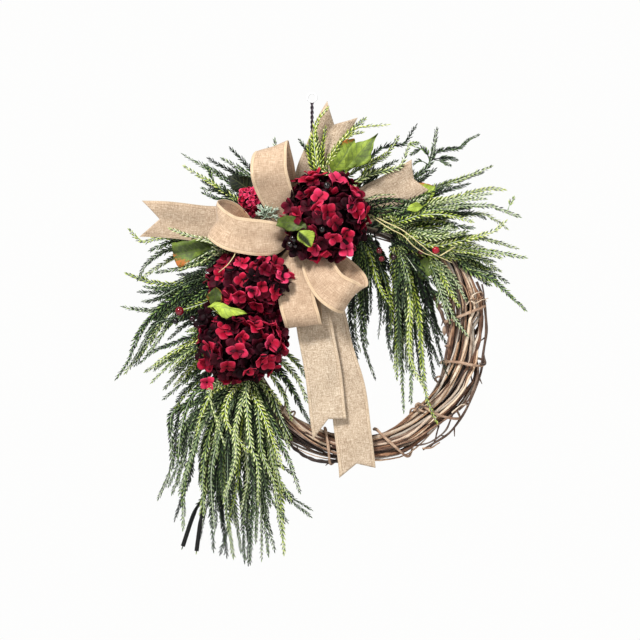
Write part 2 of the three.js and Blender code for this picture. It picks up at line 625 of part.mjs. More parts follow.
const SPRAYS = {
  spray_upper_left: {
    finish: GREEN_MID,
    root: [-62, -12, -256],
    fronds: [
      [-24, [-126, -196], [-158, -189], [-189, -177]],
      [-4, [-133, -189], [-161, -175], [-191, -168]],
      [-18, [-140, -184], [-222, -131]],
      [6, [-126, -175], [-226, -108]],
      [-14, [-116, -158], [-180, -117]],
      [4, [-94, -164], [-110, -133], [-142, -98]],
      [-12, [-70, -172], [-63, -128], [-65, -84]],
    ],
    forks: [
      [1, [-163, -178], [-172, -161], [-184, -128]],
    ],
  },
  spray_left_upper: {
    finish: GREEN_MID,
    root: [-112, -12, -314],
    fronds: [
      [0, [-175, -280], [-222, -261], [-266, -254], [-299, -261], [-320, -242]],
      [-20, [-187, -271], [-247, -262], [-282, -276]],
      [-2, [-187, -298], [-231, -308], [-271, -315]],
      [-18, [-196, -280], [-245, -273], [-289, -299], [-304, -326]],
      [8, [-187, -287], [-238, -287], [-275, -308], [-298, -324]],
      [-10, [-170, -320], [-224, -336], [-284, -332], [-324, -318]],
      [-26, [-175, -332], [-205, -338], [-259, -350], [-301, -350]],
      [-6, [-178, -322], [-229, -329], [-266, -362]],
      [8, [-175, -350], [-222, -366], [-278, -383], [-306, -382], [-332, -376]],
    ],
  },
  spray_left_lower: {
    finish: GREEN_LIGHT,
    root: [-128, -24, -368],
    fronds: [
      [-60, [-170, -360], [-187, -369], [-226, -382]],
      [-44, [-186, -332], [-245, -364], [-290, -404], [-306, -429], [-320, -469], [-341, -500]],
      [-30, [-182, -346], [-245, -376], [-266, -408], [-284, -436], [-308, -467], [-326, -490]],
      [-52, [-187, -371], [-231, -396], [-266, -402], [-289, -424]],
      [-36, [-187, -378], [-243, -399], [-266, -429], [-287, -458]],
      [-54, [-170, -402], [-203, -424], [-236, -438], [-275, -453], [-298, -472]],
      [-38, [-170, -416], [-203, -436], [-234, -455], [-289, -488]],
      [-54, [-175, -425], [-203, -444], [-245, -474], [-278, -506]],
    ],
  },
  spray_lower_left: {
    finish: GREEN_MID,
    root: [-147, -8, -425],
    fronds: [
      [-4, [-192, -444], [-220, -460], [-248, -488]],
      [8, [-187, -452], [-231, -486], [-259, -518]],
      [-12, [-182, -472], [-224, -508], [-259, -536]],
      [2, [-175, -486], [-210, -514], [-238, -550]],
      [-14, [-168, -497], [-200, -536], [-219, -581]],
    ],
  },
  spray_cascade_back: {
    finish: GREEN_DARK,
    root: [-124, 2, -512],
    fronds: [
      [6, [-187, -539], [-245, -560], [-248, -609], [-248, -658], [-270, -712]],
      [-10, [-175, -548], [-220, -592], [-231, -662], [-245, -702]],
      [14, [-158, -556], [-187, -626], [-186, -700], [-206, -735], [-228, -798]],
      [-6, [-150, -556], [-178, -626], [-189, -700], [-203, -805]],
      [10, [-140, -556], [-172, -609], [-172, -679], [-158, -746]],
      [-12, [-133, -556], [-150, -626], [-159, -714], [-150, -812]],
      [6, [-126, -565], [-140, -626], [-138, -696], [-126, -805]],
      [-8, [-119, -565], [-122, -609], [-112, -696], [-112, -826]],
      [14, [-112, -565], [-105, -626], [-88, -705], [-77, -812]],
      [-4, [-108, -565], [-98, -626], [-80, -679], [-74, -724]],
      [10, [-105, -574], [-88, -626], [-63, -693], [-4, -744]],
      [-8, [-105, -565], [-88, -618], [-63, -648], [-33, -670]],
    ],
  },
  spray_cascade_front: {
    finish: GREEN_MID,
    root: [-104, -24, -494],
    fronds: [
      [-40, [-147, -508], [-203, -525], [-226, -574], [-234, -635]],
      [-56, [-144, -522], [-182, -565], [-201, -609], [-231, -700]],
      [-30, [-140, -514], [-191, -560], [-206, -626], [-222, -679], [-226, -763]],
      [-74, [-150, -511], [-175, -528], [-191, -560], [-200, -595]],
      [-44, [-133, -528], [-172, -574], [-187, -635], [-191, -679], [-189, -735]],
      [-60, [-130, -528], [-159, -592], [-175, -662], [-170, -766]],
      [-82, [-122, -532], [-133, -592], [-136, -648], [-150, -710]],
      [-34, [-126, -532], [-150, -592], [-156, -662], [-150, -723], [-138, -812]],
      [-70, [-119, -532], [-130, -574], [-144, -602]],
      [-54, [-116, -532], [-119, -609], [-112, -672], [-124, -732]],
      [-80, [-108, -532], [-108, -609], [-103, -696], [-107, -819]],
      [-38, [-102, -528], [-89, -592], [-88, -679], [-88, -816]],
      [-62, [-98, -528], [-91, -609], [-77, -696], [-44, -749]],
      [-84, [-105, -525], [-88, -556], [-61, -626], [-51, -654]],
      [-46, [-94, -525], [-74, -592], [-63, -662], [-54, -714], [-49, -805]],
      [-68, [-98, -525], [-77, -574], [-70, -644], [-38, -710]],
      [-50, [-91, -522], [-77, -539], [-65, -574], [-44, -612]],
    ],
  },
  spray_beside_lower_bloom: {
    finish: GREEN_MID,
    root: [-106, -22, -448],
    fronds: [
      [-30, [-56, -452], [-28, -472], [-4, -509]],
      [-43, [-56, -469], [-28, -497], [-9, -539]],
      [-32, [-60, -480], [-30, -532], [-4, -578]],
      [-44, [-63, -490], [-38, -514], [-23, -536]],
      [-34, [-70, -497], [-49, -532], [-37, -570]],
    ],
  },
  spray_top_lime: {
    finish: GREEN_LIGHT,
    root: [12, -64, -152],
    fronds: [
      [-60, [0, -128], [-4, -102], [-2, -84]],
      [-66, [5, -105], [4, -70], [14, -47], [26, -32]],
      [-60, [16, -128], [18, -102], [23, -66]],
    ],
  },
  spray_top_front: {
    finish: GREEN_MID,
    root: [46, -62, -154],
    fronds: [
      [-56, [52, -130], [49, -112], [51, -94]],
      [-76, [23, -140], [33, -117], [49, -93], [74, -68], [131, -60]],
      [-50, [42, -133], [46, -110], [63, -75], [91, -49]],
      [-52, [70, -161], [100, -145], [154, -131], [163, -112], [170, -93]],
    ],
  },
  spray_top: {
    finish: GREEN_MID,
    root: [66, -14, -202],
    fronds: [
      [-8, [88, -150], [105, -124], [133, -105], [150, -80]],
      [-20, [94, -161], [126, -133], [147, -121]],
      [2, [102, -161], [98, -124], [116, -100], [140, -91], [161, -89], [182, -58]],
    ],
    forks: [
      [2, [158, -89], [172, -89], [186, -88]],
    ],
  },
  spray_top_dark: {
    finish: GREEN_DARK,
    root: [150, -8, -212],
    fronds: [
      [0, [163, -180], [180, -150], [201, -133], [210, -116], [215, -91], [219, -65]],
      [-6, [175, -168], [196, -150], [215, -135]],
    ],
    forks: [
      [0, [210, -114], [222, -103], [245, -98], [259, -96], [276, -82], [292, -74]],
      [0, [212, -116], [234, -114], [254, -117]],
      [0, [214, -117], [226, -119], [242, -126]],
      [0, [208, -119], [196, -98], [175, -107]],
      [0, [205, -126], [191, -119], [180, -124]],
    ],
  },
  spray_right_back: {
    finish: GREEN_DARK,
    root: [166, -10, -222],
    fronds: [
      [-4, [196, -189], [210, -172], [256, -154], [313, -130]],
      [-20, [200, -192], [226, -175], [273, -161]],
    ],
  },
  spray_right_upper: {
    finish: GREEN_LIGHT,
    root: [114, -24, -234],
    fronds: [
      [-62, [138, -220], [168, -200], [200, -184]],
      [-52, [144, -222], [203, -194], [243, -187], [285, -175], [313, -170], [334, -172]],
      [-68, [158, -224], [252, -201], [285, -200], [313, -201], [336, -210], [359, -219]],
      [-80, [150, -229], [189, -217], [234, -217], [276, -228]],
    ],
    forks: [
      [2, [340, -210], [343, -200], [350, -187]],
    ],
  },
  spray_right_middle: {
    finish: GREEN_MID,
    root: [153, -24, -243],
    fronds: [
      [-30, [224, -224], [299, -214], [318, -222], [340, -238]],
      [-46, [189, -234], [233, -234], [280, -238]],
      [-74, [175, -248], [214, -256], [262, -247]],
      [-60, [175, -256], [214, -270], [254, -262], [287, -254], [320, -242], [336, -228]],
      [-34, [189, -245], [233, -252], [294, -256], [357, -273]],
      [-48, [175, -252], [206, -262], [262, -271]],
      [-42, [180, -262], [215, -270], [278, -275], [329, -282], [371, -290]],
      [-30, [175, -266], [206, -278], [259, -285], [315, -296]],
    ],
  },
  spray_right_lower: {
    finish: GREEN_LIGHT,
    root: [222, -12, -258],
    fronds: [
      [-4, [259, -273], [294, -290], [329, -312]],
      [-20, [257, -276], [270, -308], [312, -326], [345, -354], [373, -380]],
      [2, [257, -280], [294, -304], [343, -332]],
      [-12, [256, -284], [284, -312], [312, -336]],
    ],
  },
  spray_ring_right: {
    finish: GREEN_LIGHT,
    root: [206, -24, -290],
    fronds: [
      [-38, [220, -303], [242, -338], [254, -373]],
      [-41, [217, -315], [231, -355], [245, -390], [270, -424]],
      [-38, [214, -303], [226, -338], [236, -385]],
    ],
  },
  spray_hanging_left: {
    finish: GREEN_DARK,
    root: [86, -18, -252],
    fronds: [
      [-8, [80, -290], [66, -364], [65, -438]],
      [-26, [84, -298], [74, -346], [68, -399], [79, -466]],
      [8, [91, -298], [84, -364], [91, -443], [110, -500]],
      [-16, [94, -312], [91, -382], [96, -441]],
      [-32, [96, -290], [102, -346], [103, -385]],
      [-46, [102, -287], [119, -343], [138, -376]],
      [-2, [108, -298], [122, -364], [117, -427]],
      [-20, [112, -298], [133, -364], [133, -425], [140, -467]],
      [6, [119, -298], [138, -382], [152, -425]],
    ],
  },
  spray_hanging_right: {
    finish: GREEN_MID,
    root: [158, -22, -267],
    fronds: [
      [-8, [140, -287], [145, -346], [138, -408]],
      [-26, [147, -294], [152, -364], [150, -443], [149, -500]],
      [-10, [150, -298], [158, -382], [158, -478], [161, -558]],
      [-42, [156, -298], [168, -399], [173, -478], [173, -541]],
      [-58, [159, -298], [170, -357], [170, -452], [178, -486], [194, -514]],
      [-84, [154, -285], [164, -312], [172, -346]],
      [-6, [168, -303], [182, -346], [192, -383]],
      [-46, [164, -298], [186, -382], [191, -452], [201, -536], [217, -576]],
      [-28, [172, -298], [189, -390], [201, -434], [214, -500]],
      [-12, [175, -304], [196, -364], [205, -427], [222, -476]],
      [-38, [168, -290], [194, -318], [220, -341]],
    ],
  },
};
for (const [name, fronds] of Object.entries(SPRAYS)) {
  place(name, fronds.finish, (grow) => spray(fronds, grow));
}

// A leaf that grows from the right-hand spray
place('leaf_right_small', LEAF_GREEN, (grow) => leaf({
  seat: vector(203, -52, -194), base: vector(192, -84, -203), tip: vector(164, -86, -208),
  width: 15, arch: 2, fold: 2, face: TOWARD_VIEWER,
}, grow));

// Berries threaded on a thin wire from where it is pushed in
function berryPick({ from, berries }, grow) {
  const points = [vector(...from), ...berries.map(([x, y, z]) => vector(x, y, z))];
  let pick = tube(points, () => BERRY_WIRE + grow, 3, vector(0.1, 0.2, 1));
  for (const [x, y, z, radius] of berries) {
    const size = radius + grow;
    pick = pick.add(ball(vector(x, y, z), vector(size, size, size)));
  }
  return pick;
}

const BERRIES = {
  berries_left: {
    finish: BERRY_RED, from: [-184, -74, -424],
    berries: [[-208, -68, -397, 6], [-229, -66, -384, 7.5]],
  },
  berries_right: {
    finish: BERRY_RED, from: [86, -84, -236],
    berries: [[142, -74, -290, 5], [189, -76, -281, 5], [215, -77, -278, 6.5]],
  },
  berries_by_knot: {
    finish: BERRY_DARK, from: [-22, -48, -261],
    berries: [[-28, -66, -266, 5.5], [-38, -76, -262, 5.5], [-42, -80, -274, 5.5]],
  },
  berry_in_upper_bloom: { finish: BERRY_DARK, from: [26, -90, -176], berries: [[26, -124, -168, 6.5]] },
};
for (const [name, pick] of Object.entries(BERRIES)) {
  place(name, pick.finish, (grow) => berryPick(pick, grow));
}

// Dry straw blades
const STRAW_BLADES = {
  straw_right: [
    [[86, -94, -206], [137, -92, -219], [169, -92, -246], [194, -92, -276], [243, -90, -299]],
    [[86, -94, -206], [137, -92, -236], [164, -92, -262], [186, -92, -281], [209, -92, -289]],
    [[222, -91, -288], [248, -92, -272]],
  ],
  straw_left: [[[-126, -90, -294], [-138, -120, -299], [-160, -114, -316]]],
};
for (const [name, blades] of Object.entries(STRAW_BLADES)) {
  const radiusAt = (t) => STRAW_RADIUS - STRAW_TAPER * t;
  place(name, STRAW, (grow) => blades
    .map((points) => tube(points.map((p) => vector(...p)), (t) => radiusAt(t) + grow, 3, TOWARD_VIEWER))
    .reduce((all, blade) => all.add(blade)));
}

// A small cluster of blossom and a frosted sprig tucked in above the left loop
place('blossom_small', PINK, (grow) => bloom({
  centre: vector(-112, -58, -190), size: vector(22, 15, 22), florets: 3, radius: 17, spin: 0.6,
  stem: vector(-106, 0, -194),
}, grow));
const SPRIG_ROOT = vector(-84, -46, -214);
const SPRIG_FOOT = vector(-88, -14, -212);
const SPRIG_DEPTH = -50;
const SPRIG_TIPS = [[-104, -212], [-98, -197], [-84, -191], [-71, -196], [-66, -212]];
const SPRIG_BLADE = { width: 3, thickness: 1.6, lengthShare: 0.62, middleShare: 0.6 };
place('sprig_frosted', FROSTED, (grow) => {
  const stem = tube([SPRIG_ROOT, SPRIG_FOOT], () => 1.5 + grow, 3, vector(1, 0, 0));
  return SPRIG_TIPS.reduce((sprig, [x, z]) => {
    const along = vector(x, SPRIG_DEPTH, z).sub(SPRIG_ROOT);
    const half = SPRIG_BLADE.lengthShare * along.length();
    const middle = SPRIG_ROOT.clone().addScaledVector(along, SPRIG_BLADE.middleShare);
    const blade = new THREE.OctahedronGeometry(1, 0);
    blade.scale(SPRIG_BLADE.width + grow, SPRIG_BLADE.thickness + grow, half + grow);
    blade.applyQuaternion(new THREE.Quaternion().setFromUnitVectors(vector(0, 0, 1), along.normalize()));
    blade.translate(middle.x, middle.y, middle.z);
    return sprig.add(solidFromGeometry(blade));
  }, stem);
});

export default wreath;
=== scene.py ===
# A Christmas door wreath: a grapevine ring with hydrangea heads, a burlap bow and cedar sprays.
# Metres, +Z up, the front faces -Y, and the origin is the point where the hanger's eye hangs.
import math

import bpy
import numpy as np
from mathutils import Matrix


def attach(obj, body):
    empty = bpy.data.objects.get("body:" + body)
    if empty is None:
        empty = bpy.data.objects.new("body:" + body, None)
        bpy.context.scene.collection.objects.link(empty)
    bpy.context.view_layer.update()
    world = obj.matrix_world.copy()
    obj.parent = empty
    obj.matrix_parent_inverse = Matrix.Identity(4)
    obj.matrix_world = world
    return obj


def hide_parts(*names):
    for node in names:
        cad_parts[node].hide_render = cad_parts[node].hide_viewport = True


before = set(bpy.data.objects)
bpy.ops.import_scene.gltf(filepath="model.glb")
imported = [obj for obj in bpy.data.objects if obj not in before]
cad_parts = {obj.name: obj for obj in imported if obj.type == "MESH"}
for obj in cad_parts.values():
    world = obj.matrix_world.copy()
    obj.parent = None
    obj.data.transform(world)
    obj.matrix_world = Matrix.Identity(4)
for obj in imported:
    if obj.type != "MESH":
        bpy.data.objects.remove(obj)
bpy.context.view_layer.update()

# Camera, light and floor
# The photograph looks straight at the wreath, in soft light from the front and above,
# on a white ground. The camera stands well back, so that near pieces keep their size.
MM = 0.001
PICTURE_SIDE = 640
PIXEL = 1.75 * MM
VIEW_SIDE = PICTURE_SIDE * PIXEL
VIEW_MIDDLE = (14 * MM, -399 * MM)
VIEW_PLANE = -30 * MM
LENS = 180
SENSOR = 36
bpy.ops.object.camera_add(
    location=(VIEW_MIDDLE[0], VIEW_PLANE - LENS / SENSOR * VIEW_SIDE, VIEW_MIDDLE[1]),
    rotation=(math.pi / 2, 0, 0),
)
camera = bpy.context.object
camera.data.lens = LENS
camera.data.sensor_width = SENSOR
bpy.context.scene.camera = camera
bpy.context.scene.view_settings.view_transform = "Standard"

SKY_COLOUR, SKY_STRENGTH = (0.97, 0.985, 1, 1), 0.42
GROUND_COLOUR = (0.985, 0.985, 0.98, 1)
world = bpy.data.worlds.new("white_studio")
bpy.context.scene.world = world
world.use_nodes = True
sky_nodes, sky_links = world.node_tree.nodes, world.node_tree.links
sky = sky_nodes["Background"]
sky.inputs["Color"].default_value = SKY_COLOUR
sky.inputs["Strength"].default_value = SKY_STRENGTH
ground = sky_nodes.new("ShaderNodeBackground")
ground.inputs["Color"].default_value = GROUND_COLOUR
shown = sky_nodes.new("ShaderNodeMixShader")
seen = sky_nodes.new("ShaderNodeLightPath")
sky_links.new(seen.outputs["Is Camera Ray"], shown.inputs["Fac"])
sky_links.new(sky.outputs["Background"], shown.inputs[1])
sky_links.new(ground.outputs["Background"], shown.inputs[2])
sky_links.new(shown.outputs["Shader"], sky_nodes["World Output"].inputs["Surface"])

# Each lamp's place, size and power.
LAMPS = {
    "key_lamp": ((-1.2, -2.4, 1.7), 0.7, 150),
    "fill_lamp": ((1.9, -2.4, 0.1), 1.6, 22),
}
LOOK_AT = np.array((0.0, 0.0, -0.4))
for lamp, (spot, size, power) in LAMPS.items():
    bpy.ops.object.light_add(type="AREA", location=spot)
    light = bpy.context.object
    light.name = lamp
    light.data.size = size
    light.data.energy = power
    away = np.array(spot) - LOOK_AT
    light.rotation_euler = (math.atan2(math.hypot(away[0], away[1]), away[2]), 0,
                            math.atan2(away[0], -away[1]))

FLOOR_DROP = -1.35
FLOOR_RADIUS = 2.6
FLOOR_COLOUR, FLOOR_ROUGHNESS = (0.86, 0.86, 0.85, 1), 0.9
bpy.ops.mesh.primitive_circle_add(vertices=96, radius=FLOOR_RADIUS, fill_type="NGON",
                                  location=(0, 0, FLOOR_DROP))
floor = bpy.context.object
floor.name = "studio_floor"
bpy.ops.object.transform_apply(location=True)
floor_paint = bpy.data.materials.new("pale_floor")
floor_paint.use_nodes = True
floor_finish = floor_paint.node_tree.nodes["Principled BSDF"].inputs
floor_finish["Base Color"].default_value = FLOOR_COLOUR
floor_finish["Roughness"].default_value = FLOOR_ROUGHNESS
floor.data.materials.append(floor_paint)


# Ring of wound vines
# An 18 inch form of grapevine: long strands of bark wound round and round by hand,
# twisting over each other, with their ends tucked back into the bundle.
RING_CENTRE = np.array((80, 0, -425)) * MM
RING_RADIUS = 227.5 * MM
RING_HALF_DEPTH = 25 * MM
RING_HALF_WIDTH = 24 * MM
RING_RIGHT_SWELL = 11 * MM


class Pile:
    """Shapes gathered into one mesh, with a UV and a look (tone, reach, kind) for each point."""

    def __init__(self):
        self.points, self.looks, self.corners, self.uvs, self.sizes = [], [], [], [], []
        self.count = 0

    def add(self, points, faces, uv, look):
        points = np.asarray(points, float).reshape(-1, 3)
        self.points.append(points)
        self.looks.append(np.broadcast_to(np.asarray(look, float), (len(points), 3)))
        base, self.count = self.count, self.count + len(points)
        self.join(faces, uv, base)
        return base

    def join(self, faces, uv, base):
        faces = np.asarray(faces, int)
        self.corners.append((faces + base).ravel())
        self.uvs.append(np.broadcast_to(np.asarray(uv, float), (faces.size, 2)))
        self.sizes.append(np.full(len(faces), faces.shape[1]))

    def piece(self, name, material):
        points, corners = np.vstack(self.points), np.concatenate(self.corners)
        sizes = np.concatenate(self.sizes)
        mesh = bpy.data.meshes.new(name)
        mesh.vertices.add(len(points))
        mesh.vertices.foreach_set("co", points.ravel())
        mesh.loops.add(len(corners))
        mesh.loops.foreach_set("vertex_index", corners)
        mesh.polygons.add(len(sizes))
        mesh.polygons.foreach_set("loop_start", np.concatenate(([0], np.cumsum(sizes)[:-1])))
        mesh.polygons.foreach_set("use_smooth", np.full(len(sizes), True))
        mesh.uv_layers.new(name="UVMap").data.foreach_set("uv", np.vstack(self.uvs).ravel())
        mesh.attributes.new("look", "FLOAT_VECTOR", "POINT").data.foreach_set(
            "vector", np.vstack(self.looks).ravel())
        mesh.update()
        mesh.validate()
        made = bpy.data.objects.new(name, mesh)
        bpy.context.collection.objects.link(made)
        mesh.materials.append(material)
        return made


class Paint:
    """A Principled material whose colour and bump are built up from noises and ramps."""

    def __init__(self, name, roughness):
        self.material = bpy.data.materials.new(name)
        self.material.use_nodes = True
        self.nodes = self.material.node_tree.nodes
        self.links = self.material.node_tree.links
        self.surface = self.nodes["Principled BSDF"]
        self.surface.inputs["Roughness"].default_value = roughness
        places = self.nodes.new("ShaderNodeTexCoord")
        self.uv, self.object = places.outputs["UV"], places.outputs["Object"]
        look = self.nodes.new("ShaderNodeAttribute")
        look.attribute_name = "look"
        self.tone, self.reach, self.kind = self.split(look.outputs["Vector"])

    def split(self, vector):
        node = self.nodes.new("ShaderNodeSeparateXYZ")
        self.links.new(vector, node.inputs[0])
        return node.outputs

    def put(self, value, socket):
        if hasattr(value, "is_linked"):
            self.links.new(value, socket)
        else:
            socket.default_value = value

    def scaled(self, place, scale):
        node = self.nodes.new("ShaderNodeMapping")
        self.links.new(place, node.inputs["Vector"])
        node.inputs["Scale"].default_value = scale
        return node.outputs[0]

    def noise(self, place, scale, detail=3, roughness=0.55):
        node = self.nodes.new("ShaderNodeTexNoise")
        self.links.new(place, node.inputs["Vector"])
        node.inputs["Scale"].default_value = scale
        node.inputs["Detail"].default_value = detail
        node.inputs["Roughness"].default_value = roughness
        return node.outputs["Fac"]

    def maths(self, kind, *values):
        node = self.nodes.new("ShaderNodeMath")
        node.operation = kind
        for i, value in enumerate(values):
            self.put(value, node.inputs[i])
        return node.outputs[0]

    def about(self, base, wave, height):
        """A base value, raised and lowered by something that runs from 0 to 1."""
        return self.maths("ADD", base, self.maths("MULTIPLY", self.maths("SUBTRACT", wave, 0.5), height))

    def ramp(self, factor, stops):
        node = self.nodes.new("ShaderNodeValToRGB")
        self.links.new(factor, node.inputs["Fac"])
        marks = node.color_ramp.elements
        while len(marks) < len(stops):
            marks.new(0.5)
        for mark, (position, colour) in zip(marks, stops):
            mark.position = position
            mark.color = (*hexed(colour), 1) if isinstance(colour, str) else (colour, colour, colour, 1)
        return node.outputs["Color"]

    def mix(self, kind, amount, first, second):
        node = self.nodes.new("ShaderNodeMix")
        node.data_type = "RGBA"
        node.blend_type = kind
        self.put(amount, node.inputs[0])
        for value, socket in ((first, node.inputs[6]), (second, node.inputs[7])):
            self.put((*hexed(value), 1) if isinstance(value, str) else value, socket)
        return node.outputs[2]

    def colour(self, value):
        self.links.new(value, self.surface.inputs["Base Color"])

    def bump(self, height, distance, strength=1.0):
        node = self.nodes.new("ShaderNodeBump")
        node.inputs["Distance"].default_value = distance
        node.inputs["Strength"].default_value = strength
        self.links.new(height, node.inputs["Height"])
        self.links.new(node.outputs["Normal"], self.surface.inputs["Normal"])


def hexed(colour):
    """A colour written #rrggbb, as the linear values that a shader takes."""
    shares = [int(colour[i:i + 2], 16) / 255 for i in (1, 3, 5)]
    return tuple(s / 12.92 if s <= 0.04045 else ((s + 0.055) / 1.055) ** 2.4 for s in shares)


def unit(vectors):
    """The same directions, each 1 long."""
    return vectors / np.linalg.norm(vectors, axis=-1, keepdims=True)


def distances(line):
    """How far along a line of points each of them lies."""
    return np.concatenate(([0], np.cumsum(np.linalg.norm(np.diff(line[:, :3], axis=0), axis=1))))


def smooth_path(corners, spacing, steps=24):
    """A curve through the corners, with points about a spacing apart."""
    p = np.array(corners, float)
    p = np.vstack((2 * p[0] - p[1], p, 2 * p[-1] - p[-2]))
    t = np.linspace(0, 1, steps, endpoint=False)[:, None]
    parts = []
    for a, b, c, d in zip(p[:-3], p[1:-2], p[2:-1], p[3:]):
        da, db, dc = (max(np.linalg.norm(q[:3]) ** 0.5, 1e-6) for q in (b - a, c - b, d - c))
        start = ((b - a) / da - (c - a) / (da + db) + (c - b) / db) * db
        end = ((c - b) / db - (d - b) / (db + dc) + (d - c) / dc) * db
        parts.append(b + start * t + (3 * (c - b) - 2 * start - end) * t ** 2
                     + (2 * (b - c) + start + end) * t ** 3)
    fine = np.vstack((*parts, p[-2:-1]))
    run = distances(fine)
    wanted = np.linspace(0, run[-1], max(int(round(run[-1] / spacing)), 2) + 1)
    return np.column_stack([np.interp(wanted, run, column) for column in fine.T])


def cross_frames(path, up):
    """Tangent, normal and side at each point, turned as little as the path allows."""
    tangents = unit(np.gradient(path, axis=0))
    normals = np.empty_like(tangents)
    normal = np.array(up, float)
    for i, tangent in enumerate(tangents):
        normal = unit(normal - tangent * normal.dot(tangent))
        normals[i] = normal
    return tangents, normals, np.cross(tangents, normals)


def rod(pile, path, radii, sides, tone, kind=0.0, up=(0, 1, 0.01), closed=False):
    """A round rod along a path, capped or closed on itself, with its length and girth as the UV."""
    count = len(path)
    tangents, normals, across = cross_frames(path, up)
    angles = 2 * math.pi * np.arange(sides) / sides
    ring = (np.cos(angles)[None, :, None] * normals[:, None]
            + np.sin(angles)[None, :, None] * across[:, None])
    points = path[:, None] + ring * np.broadcast_to(radii, count)[:, None, None]
    rows = np.arange(count if closed else count - 1)[:, None]
    columns = np.arange(sides)[None, :]
    ahead, beside = (rows + 1) % count, (columns + 1) % sides
    faces = np.stack([rows * sides + columns, rows * sides + beside,
                      ahead * sides + beside, ahead * sides + columns], axis=-1).reshape(-1, 4)
    run = distances(path)
    run = np.append(run, run[-1] + run[1]) + tone * 3
    start, end = run[rows] + 0 * columns, run[rows + 1] + 0 * columns
    low, high = columns / sides + 0 * rows, (columns + 1) / sides + 0 * rows
    uv = np.stack([start, low, start, high, end, high, end, low], axis=-1).reshape(-1, 2)
    reach = np.repeat(np.linspace(0, 1, count), sides)
    kinds = np.repeat(np.broadcast_to(kind, count), sides)
    look = np.stack([np.full(count * sides, tone), reach, kinds], axis=-1)
    base = pile.add(points, faces, uv, look)
    if not closed:
        pile.join(np.arange(sides)[None, ::-1], (run[0], 0), base)
        pile.join(np.arange(sides)[None] + (count - 1) * sides, (run[-2], 0), base)


def ring_point(angle, radius, depth):
    """Points at angles round the ring, out from its middle and behind its middle plane."""
    return np.stack(np.broadcast_arrays(RING_CENTRE[0] + radius * np.cos(angle), RING_CENTRE[1] + depth,
                                        RING_CENTRE[2] + radius * np.sin(angle)), axis=-1)


def ring_shape(angle):
    """The bundle's middle radius and half width. It swells to the right."""
    half = RING_HALF_WIDTH + RING_RIGHT_SWELL * ((1 + np.cos(angle)) / 2) ** 2
    return RING_RADIUS - half, half


bark = Paint("grapevine_bark", 0.8)
fibres = bark.noise(bark.scaled(bark.uv, (30, 6, 1)), 3.2, 6, 0.75)
patches = bark.noise(bark.scaled(bark.uv, (18, 0.8, 1)), 1.6, 3)
wear = bark.maths("ADD", bark.maths("MULTIPLY", fibres, 0.8), bark.maths("MULTIPLY", patches, 0.4))
wear = bark.about(wear, bark.tone, 0.44)
RUDDY = ((0.34, "#120b08"), (0.46, "#4c2e1e"), (0.56, "#8f6243"), (0.66, "#c9a07a"), (0.78, "#f0dcc0"))
GREYED = ((0.34, "#110e0c"), (0.46, "#463a34"), (0.56, "#85736a"), (0.66, "#bcaca0"), (0.78, "#e8dfd4"))
grey_share = bark.maths("MULTIPLY", bark.maths("PINGPONG", bark.maths("MULTIPLY", bark.tone, 3.7), 0.5), 1.5)
skin = bark.mix("MIX", grey_share, bark.ramp(wear, RUDDY), bark.ramp(wear, GREYED))
# The kind channel blends the bark toward near-black #1d1412: painted shade on vines that lie deep in the
# bundle, and the darker bark of some strands, runners, twigs and tendril ends.
bark.colour(bark.mix("MIX", bark.kind, skin, "#1d1412"))
bark.bump(fibres, 1.3 * MM, 1.0)

VINE_SIDES = 7
VINE_STEPS = 84
VINE_TURNS = (0.9, 1.6)
VINE_WINDS = (0.9, 1.4)
VINE_TAPER = 0.35
VINE_WAVER = 1.5 * MM
VINE_HEAVE = 1.4 * MM
JOINT_SPACING = 74 * MM
JOINT_SWELL, JOINT_LENGTH = 0.22, 0.07
vine_draw = np.random.default_rng(18)
# How many vines a layer has, where it lies between the middle and the skin of the bundle, the
# vines' girths, the nodes that it stands for and their slot.
RING_LAYERS = {
    "ring_vines_outer": (38, (0.66, 1.0), (1.7, 3.7), ("vine_outer_first", "vine_outer_second"), "vine"),
    "ring_vines_inner": (15, (0.15, 0.6), (2.6, 4.4), ("vine_core",), "vine_dark"),
}
# Where the bundle is drawn in at its outer edge: angle, half angle and depth.
DRAWN_IN = ((-0.04, 0.2, 7.5), (-0.84, 0.2, 9))
# The slits where light shows through it: angle, radius, half angle and half width.
SLITS = ((0.09, 208, 0.14, 5.4), (-0.37, 215, 0.09, 3.8), (-1.2, 214, 0.07, 2.4))
SLIT_REACH = 14 * MM
# Strands that lie loose on it: the angles, radii and depths that they pass, then girth, tone
# and darkness.
LOOSE_STRANDS = (
    (((0.42, 219, -4), (0.3, 225, -8), (0.197, 222, -12), (0.073, 216, -14), (-0.02, 215, -14),
     (-0.116, 211, -14), (-0.25, 203, -16), (-0.42, 196, -14)), 3.0, 0.3, 0.1),
    (((-0.18, 207, -12), (-0.26, 219, -12), (-0.35, 223, -10), (-0.44, 225, -8), (-0.53, 226, -6),
     (-0.64, 222, -4)), 2.3, 0.45, 0.5),
    (((-0.66, 214, -12), (-0.74, 221, -12), (-0.82, 228, -8), (-0.9, 229, -6), (-0.99, 227, -8),
     (-1.1, 219, -10)), 1.8, 0.4, 0.6),
    (((-0.84, 214, -10), (-0.9, 223, -8), (-0.95, 232, -5), (-1.0, 235, -4)), 1.5, 0.35, 0.7),
)


def drawn_in(angle):
    """How far the bundle's outer edge is drawn in."""
    turned = np.angle(np.exp(1j * np.asarray(angle)))
    return sum(depth * np.exp(-((turned - at) / spread) ** 2) for at, spread, depth in DRAWN_IN) * MM


def parted(angle, radius):
    """The radius moved aside where a slit is held open."""
    turned = np.angle(np.exp(1j * np.asarray(angle)))
    for at, middle, spread, wide in SLITS:
        off = radius - middle * MM
        room = wide * MM * np.clip(1.4 - ((turned - at) / spread) ** 2 * 1.4, 0, 1)
        room = room * np.exp(-(off / SLIT_REACH) ** 2)
        radius = radius + np.where(off > 0, room, -room)
    return radius


